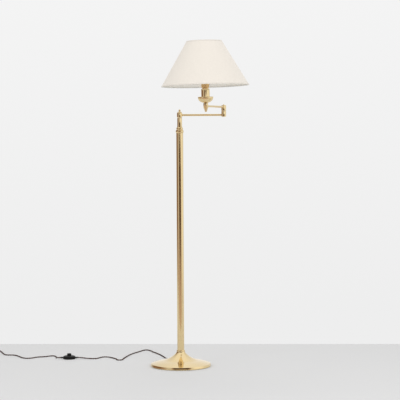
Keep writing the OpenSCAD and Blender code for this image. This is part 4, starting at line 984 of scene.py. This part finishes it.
class LAMP_OT_plug(Operator):
    """Build the plug and the tie round the coil"""

    bl_idname = "lamp.plug"
    bl_label = "Plug and tie"

    def execute(self, context):
        at, end = Matrix.Translation((PLUG_X, PLUG_Y, PLUG_Z)), -PLUG_LEN
        pins = [Matrix.Translation((x, 0, 0)) @ ALONG_Y for x in (-PIN_SPACING / 2, PIN_SPACING / 2)]
        body = skin("plug_housing", [self.body()], "capped", at)
        hole_r = PIN_ROOT_R + SEAT
        hole = [(0, end - 1), (hole_r, end - 1), (hole_r, end + 9.5), (0, end + 9.5)]
        pierce(body, *(turned("drill", hole, place=at @ pin, steps=32) for pin in pins))
        dress(body, black_plastic, "stand", "plug_body")

        towards_coil = Matrix.Rotation(pi / 2, 4, "Z") @ ALONG_X
        sleeve = skin("plug_sleeve", [rounds(ribbed_sleeve(CORD_R + 2.4, TAPER), 64, towards_coil)], place=at)
        dress(sleeve, black_rubber, "stand")

        tip = end - PIN_LEN
        rod = [(0, tip), *arc(PIN_R - 1, tip + 1, 1, -90, 0, 6), (PIN_R, end), (PIN_ROOT_R, end),
               (PIN_ROOT_R, end + PIN_ROOT_LEN), (0, end + PIN_ROOT_LEN)]
        two_pins = skin("plug_two_pins", [rounds(rod, 32, pin) for pin in pins], "open", at)
        dress(two_pins, steel, "stand", "plug_pins")
        self.tie()
        return {"FINISHED"}

    def body(self):
        """Loops of the plug's body: rounded shoulders, a grip that narrows, and a flat face with the pins."""
        half, wide, grip, end = PLUG_Z, PLUG_W / 2, 13, -PLUG_LEN
        shoulders = bend((7.5, 0), (wide, -1), (wide, end * 0.45), 14, 1)
        waist = bend((wide, end * 0.45), (wide, end * 0.6), (grip + 0.2, end * 0.72), 8, 1)
        # The place along the plug, half the width and half the height there
        profile = [
            (0, 7.0, 5.2), *((y, w, half - 1.2 * (1 - min(1, -y / 8)) ** 2) for w, y in shoulders),
            *((y, w, half) for w, y in waist), (end * 0.86, grip, half), (end + 1.4, grip, half),
            (end + 0.5, grip - 0.4, half - 0.4), (end, grip - 1.2, half - 1.2)]
        loops = []
        for y, w, h in profile:
            ring = []
            for c, s in circle(0, 0, 1, 64):
                # A squarish round: the body's flanks are flat, its edges rounded
                size = (abs(c) ** 5 + abs(s) ** 5) ** (-1 / 5)
                ring.append((w * c * size, y, h * s * size))
            loops.append(ring)
        return loops

    def tie(self):
        """A flat loop of tape round all the turns of the coil."""
        width, slack, corner, tape, tape_below = 8.8, 0.6, 2.4, 0.7, 0.45
        turns = [coil_r(a) for a in range(TIE_ANGLE, int(COIL_START + COIL_SWEEP) + 1, 360)]
        left, right = min(turns) - CORD_R - slack, max(turns) + CORD_R + slack
        floor_z, top = 0.5, COIL_HIGH + CORD_R + 0.3
        low, high = floor_z + corner, top - corner
        corners = ((right - corner, low, -90), (right - corner, high, 0), (left + corner, high, 90),
                   (left + corner, low, 180))
        inner = [point for x, z, turn in corners for point in arc(x, z, corner, turn, turn + 90, 6)]
        outer = [(x + (tape if x > (left + right) / 2 else -tape), z + (tape if z > top / 2 else -tape_below))
                 for x, z in inner]
        loops = [[(x, side * width / 2, z) for x, z in line]
                 for line, side in ((inner, -1), (inner, 1), (outer, 1), (outer, -1))]
        at = Matrix.Translation((COIL_X, COIL_Y, 0)) @ Matrix.Rotation(radians(TIE_ANGLE), 4, "Z")
        dress(skin("cord_tie_band", [loops], place=at, sharp=50), tie_webbing, "stand", "cord_tie")


# ---- Base and column -----------------------------------------------------------------------------


DOME_EDGE = BASE_R - NOSE_R + NOSE_R * cos(radians(67))


def dome_z(r):
    """Height of the cover's dome outside the circle where the cove meets it."""
    t = (r - SADDLE_R) / (DOME_EDGE - SADDLE_R)
    middle = SADDLE_H - (DOME_EDGE - SADDLE_R) / 2 * tan(radians(10))
    return (1 - t) ** 2 * SADDLE_H + 2 * t * (1 - t) * middle + t * t * RIM_H


class LAMP_OT_base(Operator):
    """Build the spun base cover, its felt pad, the ring on it and the cord's bushing"""

    bl_idname = "lamp.base"
    bl_label = "Base"

    def execute(self, context):
        clear, bead = 0.9, 2
        cove_pull = 38
        top = [
            (NECK_R, BASE_H),
            *cubic((NECK_R, BASE_H - 4), (NECK_R + 2.5, BASE_H - 14),
                   (SADDLE_R - cove_pull, SADDLE_H + cove_pull * tan(radians(14))), (SADDLE_R, SADDLE_H), 56),
            *((r, dome_z(r)) for r in (SADDLE_R + (DOME_EDGE - SADDLE_R) * i / 24 for i in range(1, 25))),
        ]
        # The rim's side leans in a little, and its upper edge is rounded
        edge = bend((DOME_EDGE, RIM_H), (BASE_R - 1.45, RIM_H - 0.7), (BASE_R - 1.3, RIM_H - 1.4), 12, 1)
        bead_top = clear + 2 * bead
        foot = [(BASE_R, bead_top + 1.4), (BASE_R - 0.9, bead_top + 0.5),
                *arc(BASE_R - bead, clear + bead, bead, 50, -90, 18)]
        inner = beside([*top[:-1], (BASE_R - 2, RIM_H - 1.2), *foot], COVER_WALL)
        cover = turned("base_cover_spun", [*top, *edge, *foot, *inner[::-1]], steps=192, sharp=40)
        pierce(cover, drill(BUSHING_R + SEAT, BASE_R - 12, BASE_R + 5, AT_EXIT), sharp=40)
        dress(cover, polished_brass, "stand", "base_cover")

        pad_r, pad_h = BASE_R - 6, 2
        pad = turned("felt_pad", [(0, 0), (pad_r - 0.4, 0), (pad_r, 0.5), (pad_r, 1.5), (pad_r - 0.3, pad_h),
                                  (0, pad_h)], steps=256,
                     ripple=lambda a, r, z: r + (0.12 * sin(97 * a) * sin(31 * a) if r > 100 else 0))
        dress(pad, felt, "stand", "base_pad")

        bore, spigot_r = COLUMN_R + SEAT, NECK_R - COVER_WALL - SEAT
        ring = turned("foot_ring_turned", [
            (bore, BASE_H - 10), (spigot_r, BASE_H - 10), (spigot_r, BASE_H + SEAT),
            (NECK_R - 0.3, BASE_H + SEAT), *arc(NECK_R - 1.6, BASE_H + 2, 2, -50, 90, 20),
            (bore + 0.3, BASE_H + 4), (bore, BASE_H + 3.7)])
        dress(ring, polished_brass, "stand", "foot_ring")

        start, flange, inlet_r = BASE_R - 9, BUSHING_FLANGE_X, LEAD_R + 0.4
        sleeve = ribbed_sleeve(CORD_R + 1.5, TAPER, flange + 1.7)
        bushing = turned("cord_bushing", [
            (TAPER_BORE_R, start), (inlet_r, start), (inlet_r, start + 1), (BUSHING_R, start + 1),
            (BUSHING_R, flange), (BUSHING_FLANGE_R - 0.4, flange), (BUSHING_FLANGE_R, flange + 0.3),
            (BUSHING_FLANGE_R, flange + 1.2), (BUSHING_FLANGE_R - 0.5, flange + 1.7), *sleeve[1:]],
            place=AT_EXIT @ ALONG_X, steps=48)
        dress(bushing, black_rubber, "stand", "base_bushing")
        return {"FINISHED"}


class LAMP_OT_column(Operator):
    """Build the column tube, its collar, the neck and the finial on top"""

    bl_idname = "lamp.column"
    bl_label = "Column"

    def execute(self, context):
        inner = COLUMN_R - COLUMN_WALL
        tube = turned("column_tube_drawn", [
            (inner, COLUMN_FOOT), (COLUMN_R, COLUMN_FOOT), (COLUMN_R, COLUMN_TOP - 0.3),
            (COLUMN_R - 0.3, COLUMN_TOP), (inner, COLUMN_TOP)])
        dress(tube, polished_brass, "stand", "column_tube")

        # The collar: a spigot in the tube, a wide bead, a groove, a small bead and a cove up to the neck
        spigot, hole, spigot_z = inner - SEAT, ROD_R + SEAT, COLUMN_TOP - 14
        bead_r, bead_h, small_h = COLUMN_R + 0.6, 15, 10.98
        groove, groove_z, small_z = SHOULDER_R - 1.6, SHOULDER_Z + 0.4, SHOULDER_Z + 0.8
        half_turns = [i / 32 for i in range(33)]
        bead = [(bead_r + (COLLAR_R - bead_r) * sin(pi * t), COLUMN_TOP + bead_h * t) for t in half_turns]
        small = [(groove + (SHOULDER_R - groove) * sin(pi * t), small_z + small_h * t) for t in half_turns]
        cove = bend((groove, small_z + small_h), (SPINDLE_NECK_R + 0.5, small_z + small_h + 1),
                    (SPINDLE_NECK_R + 0.2, COLLAR_TOP), 16, 1)
        collar = turned("collar_turned", [
            (hole, spigot_z), (spigot, spigot_z), (spigot, COLUMN_TOP), *bead, (groove, groove_z), *small,
            *cove, (hole, COLLAR_TOP)])
        dress(collar, polished_brass, "stand", "column_collar")

        neck = turned("neck_turned", barrel(SPINDLE_NECK_R, hole, COLLAR_TOP, NECK_TOP, 0.8), sharp=40)
        dress(neck, polished_brass, "stand", "column_neck")

        flange_r, flange_h, waist, ball, stud, stud_h = HUB_R - 3.2, 4, 3.1, 5, 2.05, 8.2
        top = turned("finial_turned", [
            (stud, 0), (flange_r, 0),
            *bend((flange_r, 0.6), (flange_r * 0.92, flange_h), (waist, flange_h), 16),
            (waist, flange_h + 0.6), *arc(0, flange_h + 1 + ball * 0.8, ball, -49, 90, 28), (0, stud_h),
            (stud, stud_h)], place=Matrix.Translation((0, 0, HUB_TOP + END_GAP)), steps=64)
        dress(top, polished_brass, "stand", "finial")
        return {"FINISHED"}


# ---- Swing arms and cup --------------------------------------------------------------------------


class LAMP_OT_arms(Operator):
    """Build the two swing arms with their knuckles"""

    bl_idname = "lamp.arms"
    bl_label = "Swing arms"

    def execute(self, context):
        at_lower = Matrix.Translation((0, 0, LOWER_ARM_Z))
        at_upper = UPPER_ARM @ Matrix.Translation((0, 0, UPPER_ARM_Z))
        arm_hole, turning, fixed = ARM_R + SEAT, ROD_R + RUN, ROD_R + SEAT
        hub = turned("swing_hub_turned", [*barrel(HUB_R, turning, HUB_Z, HUB_TOP, 5),
                                          *chamber(turning, LOWER_ARM_Z, ROD_R + 4)], steps=96)
        pierce(hub, drill(arm_hole, 0, HUB_R + 4, at_lower))
        dress(hub, polished_brass, "lower_arm", "swing_hub")

        bore, end = ARM_R - ARM_WALL, ARM_REACH - ROD_R - 0.3
        for arm, place, start in (("lower_arm", at_lower, 9.2), ("upper_arm", at_upper, 8.2)):
            tube = turned(f"{arm}_drawn", [(bore, start), (ARM_R, start), (ARM_R, end), (bore, end)],
                          place=place @ ALONG_X, steps=64)
            dress(tube, polished_brass, arm, f"{arm}_tube")

        low, top = LOWER_KNUCKLE_Z, LOWER_KNUCKLE_Z + KNUCKLE_H
        knuckle = turned("lower_knuckle_turned", barrel(KNUCKLE_R, fixed, low, top, 1.2), place=AT_ELBOW,
                         steps=96)
        pierce(knuckle, drill(arm_hole, ARM_REACH - KNUCKLE_R - 3, ARM_REACH, at_lower))
        dress(knuckle, polished_brass, "lower_arm", "lower_knuckle")
        low, top = UPPER_KNUCKLE_Z, UPPER_KNUCKLE_Z + KNUCKLE_H
        knuckle = turned("upper_knuckle_turned", [*barrel(KNUCKLE_R, turning, low, top, 1.2),
                                                  *chamber(turning, UPPER_ARM_Z, ROD_R + 3)],
                         place=UPPER_ARM, steps=96)
        pierce(knuckle, drill(arm_hole, 0, KNUCKLE_R + 3, at_upper))
        dress(knuckle, polished_brass, "upper_arm", "upper_knuckle")

        cap_r, plug_r, plug_h = KNUCKLE_R - 1.6, ROD_R - SEAT, 3
        cap = turned("knuckle_cap_turned", [
            (0, plug_h), (plug_r, plug_h), (plug_r, 0), (cap_r, 0),
            *bend((cap_r, -0.4), (cap_r * 0.8, -2.2), (0, -2.4), 16)],
            place=AT_ELBOW @ Matrix.Translation((0, 0, LOWER_KNUCKLE_Z)), steps=64)
        dress(cap, polished_brass, "lower_arm", "knuckle_cap")

        ball, flange_r, flange_h, stud, stud_h = 2.4, KNUCKLE_R - 3, 1.8, 1.45, 4.3
        tip = turned("elbow_finial_turned", [
            (stud, 0), (flange_r, 0),
            *bend((flange_r, 0.5), (flange_r * 0.9, flange_h), (ball * 0.8, flange_h), 14),
            *arc(0, flange_h + ball * 0.6, ball, -36, 90, 20), (0, stud_h), (stud, stud_h)],
            place=AT_ELBOW @ Matrix.Translation((0, 0, top + END_GAP)), steps=64)
        dress(tip, polished_brass, "lower_arm", "elbow_finial")
        return {"FINISHED"}


class LAMP_OT_cup(Operator):
    """Build the cup's hub with its drop, the drip dish and the candle sleeve"""

    bl_idname = "lamp.cup"
    bl_label = "Cup, dish and sleeve"

    def execute(self, context):
        bottom, hole, hole_z, wall = -CUP_DOWN - DROP_H, ROD_R + SEAT, -5.8, SPUN_WALL
        hub = turned("cup_hub_turned", [
            (0, bottom), *arc(2, bottom + 3, 3, -90, 0, 12),
            *bend((5, bottom + 3), (CUP_R - 4.5, bottom + 9), (CUP_R - 1, -CUP_DOWN - 1), 24, 1),
            (CUP_R - 0.3, -CUP_DOWN - 0.6), (CUP_R, -CUP_DOWN), (CUP_R, CUP_UP - 1),
            *arc(CUP_R - 1, CUP_UP - 1, 1, 0, 90, 6), (hole, CUP_UP), (hole, hole_z), (0, hole_z)],
            place=IN_CUP, steps=96)
        pierce(hub, drill(ARM_R + SEAT, -CUP_R - 3, 0, IN_CUP))
        dress(hub, polished_brass, "upper_arm", "cup_hub")

        # The dish is part of an ellipse, with its edge rolled to a bead
        rim_z, r, inside, depth = DISH_Z + DISH_H, DISH_BOWL_R, DISH_BOWL_R - wall, DISH_H - wall
        outer = [(r * cos(radians(a)), rim_z - DISH_H * sin(radians(a))) for a in range(75, -1, -3)]
        inner = [(inside * cos(radians(a)), rim_z - depth * sin(radians(a))) for a in range(0, 76, 3)]
        bead = arc(r - wall / 2, rim_z + 3, 1.2 + wall / 2, -72, 252, 28)
        dish = turned("drip_dish_spun", [(hole, DISH_Z), *outer, *bead, *inner, (hole, DISH_Z + wall)],
                      place=IN_CUP, sharp=40)
        dress(dish, polished_brass, "upper_arm", "drip_dish")

        start = rim_z - depth * sqrt(1 - (SLEEVE_R / inside) ** 2) + 0.15
        sleeve = turned("candle_sleeve", [
            (SLEEVE_R - wall, start), (SLEEVE_R, start),
            *arc(SLEEVE_R - 1.5, SLEEVE_TOP - 1.5, 1.5, 0, 90, 10), (hole, SLEEVE_TOP),
            (hole, SLEEVE_TOP - wall), (SLEEVE_R - wall, SLEEVE_TOP - wall)], place=IN_CUP)
        dress(sleeve, polished_brass, "upper_arm", "sleeve")
        return {"FINISHED"}


# ---- Lampholder and bulb -------------------------------------------------------------------------


def screw(root, depth, pitch, low, high):
    """A ripple that raises a rounded screw thread between two heights, and fades it in and out."""

    def ripple(angle, r, z):
        if r < root - TOUCHING or not low < z < high:
            return r
        fade = min(1, (z - low) / (0.6 * pitch), (high - z) / (0.6 * pitch))
        return r + depth * fade * (0.5 + 0.5 * cos(2 * pi * (z / pitch - angle / (2 * pi))))

    return ripple


class LAMP_OT_lampholder(Operator):
    """Build the lampholder with its threaded shell and shade rings"""

    bl_idname = "lamp.lampholder"
    bl_label = "Lampholder"

    def execute(self, context):
        hole, foot_r, wall, r, z = ROD_R + SEAT, 14.5, SPUN_WALL, HOLDER_R, HOLDER_Z
        cap = turned("lampholder_cap", [
            (hole, SLEEVE_TOP + END_GAP), (foot_r, SLEEVE_TOP + END_GAP), (foot_r, z),
            *arc(r - 2.5, z + 2.5, 2.5, -90, 0, 12), (r, z + 5.2), (r - 0.5, z + 5.6), (r - 0.5, z + 6.2),
            (r, z + 6.6), (r, HOLDER_CAP_TOP), (r - wall, HOLDER_CAP_TOP), (r - wall, z + wall),
            (hole, z + wall)], place=IN_CUP)
        dress(cap, aged_brass, "upper_arm", "holder_cap")

        depth, pitch, low, high = 0.8, 3, HOLDER_CAP_TOP + END_GAP, HOLDER_TOP
        root = HOLDER_R - depth
        rows = [(root, low + (high - low) * i / 96) for i in range(97)]
        shell = turned("lampholder_shell", [(root - wall, low), *rows, (root - wall, high)], place=IN_CUP,
                       steps=96, ripple=screw(root, depth, pitch, low + 1, high - 1), sharp=60)
        dress(shell, aged_brass, "upper_arm", "holder_shell")

        def flutes(angle, r, z):
            return r - (0.35 * (0.5 + 0.5 * cos(40 * angle)) if r > RING_R - 1 else 0)

        rings = turned("shade_rings_fluted",
                       *(barrel(RING_R, RING_BORE_R, z, z + RING_H, 1.5) for z in RING_LEVELS),
                       place=IN_CUP, steps=240, ripple=flutes)
        dress(rings, polished_brass, "upper_arm", "holder_rings")
        return {"FINISHED"}


class LAMP_OT_bulb(Operator):
    """Build the bulb: its screw cap and its glass"""

    bl_idname = "lamp.bulb"
    bl_label = "Bulb"

    def execute(self, context):
        depth, pitch, z = 1.1, 3.4, BULB_CAP_Z
        root, low, high = BULB_CAP_R - depth, z + 3, z + 20
        rows = [(root, low + (high - low) * i / 80) for i in range(81)]
        cap = turned("bulb_screw_cap", [
            (0, z - 1), (4.5, z - 1), (5, z), (BULB_CAP_R - 1.5, z + 2.5), *rows, (root, GLASS_Z),
            (0, GLASS_Z)], place=IN_CUP, steps=72, ripple=screw(root, depth, pitch, low, high), sharp=60)
        dress(cap, aluminium, "upper_arm", "bulb_cap")

        def glass(inside):
            """Outline from the glass's foot up its cone and over its ball."""
            r, foot, ball_z = GLASS_R - inside, BULB_CAP_R + 0.3 - inside, GLASS_Z + 54
            cone_end = (r * cos(radians(35)), ball_z - r * sin(radians(35)))
            cone = bend((foot, GLASS_Z + 2), (foot + 3, GLASS_Z + 20), cone_end, 16, 1)
            return [(foot, GLASS_Z), (foot, GLASS_Z + 2), *cone[:-1], *arc(0, ball_z, r, -35, 90, 40)]

        ball = turned("bulb_globe", [*glass(0), *glass(0.9)[::-1]], place=IN_CUP, steps=96)
        dress(ball, opal_glass, "upper_arm", "bulb_glass")
        return {"FINISHED"}


# ---- Shade ---------------------------------------------------------------------------------------

SHADE_SLOPE = (SHADE_R - SHADE_TOP_R) / (SHADE_TOP - SHADE_Z)
ACROSS = 1 / cos(atan(SHADE_SLOPE))
BACKING, FABRIC, TAPE = 0.6 * ACROSS, 0.5 * ACROSS, 0.5 * ACROSS
WIRE_INSIDE = FABRIC + BACKING + WIRE_R * ACROSS + 0.1
TOP_WIRE_Z, BOTTOM_WIRE_Z = SHADE_TOP - WIRE_R - 0.3, SHADE_Z + WIRE_R + 0.3
# The cloth's seam is at the back of the lamp
SEAM = radians(203.5)
SHADE_STEPS = 288
ARM_TURNS = (30, 150, 270)


def shade_r(z):
    """Half the shade's width on its outside, at a height in the cup's frame."""
    return SHADE_R - (z - SHADE_Z) * SHADE_SLOPE


def lap(width, height, at=SEAM):
    """A ripple where the end of a strip laps over its start, so many millimetres wide and high."""

    def ripple(angle, r, z):
        past = (angle - at + pi) % (2 * pi) - pi
        return r + (height if r > 50 and 0 < past * r < width else 0)

    return ripple


class LAMP_OT_shade_frame(Operator):
    """Build the shade's wire rings, and the plate with three arms that carries them"""

    bl_idname = "lamp.shade_frame"
    bl_label = "Shade frame"

    def execute(self, context):
        for side, z in (("top", TOP_WIRE_Z), ("bottom", BOTTOM_WIRE_Z)):
            ring = turned(f"{side}_ring_wire", circle(shade_r(z) - WIRE_INSIDE, z, WIRE_R, 16), place=IN_CUP,
                          steps=160)
            dress(ring, coated_wire, "upper_arm", f"shade_{side}_wire")

        # The plate's outline as (radius, angle), with a tab for each arm
        plate_r, tab, tab_half = RING_R - 2, 7, 2
        tip_r = plate_r + tab
        corner_r = hypot(tip_r, tab_half) - 0.4
        foot, tip = (degrees(asin(tab_half / r)) for r in (plate_r, tip_r))
        corners = []
        for middle in ARM_TURNS:
            corners += [(plate_r, middle - foot), (corner_r, middle - tip), (tip_r, middle),
                        (corner_r, middle + tip)]
            corners += [(plate_r, middle + foot + (120 - 2 * foot) * k / 24) for k in range(24)]
        outer = [(r * cos(radians(a)), r * sin(radians(a))) for r, a in corners]
        inner = [(RING_BORE_R * cos(radians(a)), RING_BORE_R * sin(radians(a))) for _, a in corners]
        low, high = FITTER_Z, FITTER_Z + WIRE_R
        loops = [[(x, y, z) for x, y in line]
                 for line, z in ((inner, low), (outer, low), (outer, high), (inner, high))]
        plate = skin("fitter_plate_pressed", [loops], place=IN_CUP)
        dress(plate, coated_wire, "upper_arm", "fitter_plate")

        # Each arm lies on its tab, and bends up to the top ring
        rod_r = WIRE_R - 0.2
        start = Vector((tip_r - 2, 0, high + rod_r))
        end = Vector((shade_r(TOP_WIRE_Z) - WIRE_INSIDE - WIRE_R * 0.6, 0, TOP_WIRE_Z - WIRE_R * 0.9))
        run = (end - start).normalized()
        line = [Vector(p) for p in bend(start - Vector((1.5, 0, 0)), start + Vector((1.2, 0, 0)),
                                        start + run * 4 + Vector((0.3, 0, 0)), 8)]
        line += [start.lerp(end, t) for t in (0.1, 0.3, 0.5, 0.7, 0.9, 1.0)]
        rod = swept(line, rod_r, 14, level=Vector((0, -1, 0)))
        arms = [[[Matrix.Rotation(radians(turn), 4, "Z") @ point for point in ring] for ring in rod]
                for turn in ARM_TURNS]
        arms = skin("fitter_three_arms", arms, "capped", IN_CUP, sharp=60)
        dress(arms, coated_wire, "upper_arm", "fitter_arms")
        return {"FINISHED"}


class LAMP_OT_shade(Operator):
    """Build the shade's cloth, its lining and the tapes over its edges"""

    bl_idname = "lamp.shade"
    bl_label = "Shade"

    def execute(self, context):
        film = turned("shade_lining_film", self.strip(FABRIC, FABRIC + BACKING), place=IN_CUP,
                      steps=SHADE_STEPS)
        dress(film, shade_film, "upper_arm", "shade_backing")
        cloth = turned("shade_cloth", self.strip(0, FABRIC - 0.02), place=IN_CUP, steps=SHADE_STEPS,
                       ripple=lap(9, 0.3))
        dress(cloth, shade_cotton, "upper_arm", "shade_fabric")
        # Each tape is folded over an edge, towards the middle of the shade
        top = self.tape("top", SHADE_TOP, -1)
        bottom = self.tape("bottom", SHADE_Z, 1)

        return {"FINISHED"}

    def strip(self, out, into):
        """Outline of a layer of the shade between two distances from its outside."""
        heights = [SHADE_Z + (SHADE_TOP - SHADE_Z) * i / 24 for i in range(25)]
        return [*((shade_r(z) - out, z) for z in heights), *((shade_r(z) - into, z) for z in heights[::-1])]

    def tape(self, side, edge, into):
        """A tape folded over an edge: down the outside, across the edge and a lip inside."""
        width, inner, r = 6, FABRIC + BACKING, shade_r(edge)
        heights = [edge + into * i for i in range(width + 1)]
        inside = [(shade_r(z), z) for z in heights]
        outside = [(shade_r(z) + TAPE * (0.25 if z == heights[-1] else 1), z) for z in heights[::-1]]
        over = edge - into * 0.5
        fold = [(r + TAPE * 0.95, edge - into * 0.22), (r + TAPE * 0.5, over), (r - inner + 0.1, over),
                (r - inner - 0.3, edge - into * 0.35), (r - inner, edge)]
        tape = turned(f"shade_{side}_binding", [*inside, *outside, *fold], place=IN_CUP, steps=SHADE_STEPS,
                      ripple=lap(11, 0.25, SEAM + 0.02), sharp=60)
        return dress(tape, cotton_tape, "upper_arm", f"shade_{side}_tape")


class LAMP_OT_inner_parts(Operator):
    """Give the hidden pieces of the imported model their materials"""

    bl_idname = "lamp.inner_parts"
    bl_label = "Inner parts"

    def execute(self, context):
        for finish, nodes in INNER_PARTS.items():
            for node in nodes:
                piece = bpy.data.objects.get(node)
                if piece is None:
                    raise RuntimeError(f"The packed model has no {node}")
                for place in piece.material_slots:
                    place.material = finish()
        return {"FINISHED"}


# ---- Panel and registration ----------------------------------------------------------------------

STEPS = (
    LAMP_OT_stage, LAMP_OT_foot_switch, LAMP_OT_plug, LAMP_OT_cord, LAMP_OT_base, LAMP_OT_column,
    LAMP_OT_arms, LAMP_OT_cup, LAMP_OT_lampholder, LAMP_OT_bulb, LAMP_OT_shade_frame, LAMP_OT_shade,
    LAMP_OT_inner_parts,
)


class LAMP_PT_panel(Panel):
    """Sizes and colours of the lamp, and a button for each of its groups"""

    bl_idname = "LAMP_PT_panel"
    bl_label = "Floor lamp"
    bl_space_type = "VIEW_3D"
    bl_region_type = "UI"
    bl_category = "Floor lamp"

    def draw(self, context):
        column = self.layout.column()
        for group in (context.scene.lamp_sizes, context.scene.lamp_colours):
            for key in group.bl_rna.properties.keys():
                if key not in ("rna_type", "name"):
                    column.prop(group, key)
        for step in STEPS:
            column.operator(step.bl_idname)


CLASSES = (LampSizes, LampColours, *STEPS, LAMP_PT_panel)


def register():
    for cls in CLASSES:
        bpy.utils.register_class(cls)
    bpy.types.Scene.lamp_sizes = PointerProperty(type=LampSizes)
    bpy.types.Scene.lamp_colours = PointerProperty(type=LampColours)


def unregister():
    del bpy.types.Scene.lamp_colours
    del bpy.types.Scene.lamp_sizes
    for cls in reversed(CLASSES):
        bpy.utils.unregister_class(cls)


def main():
    register()
    for step in STEPS:
        group, name = step.bl_idname.split(".")
        getattr(getattr(bpy.ops, group), name)()


if __name__ == "__main__":
    main()
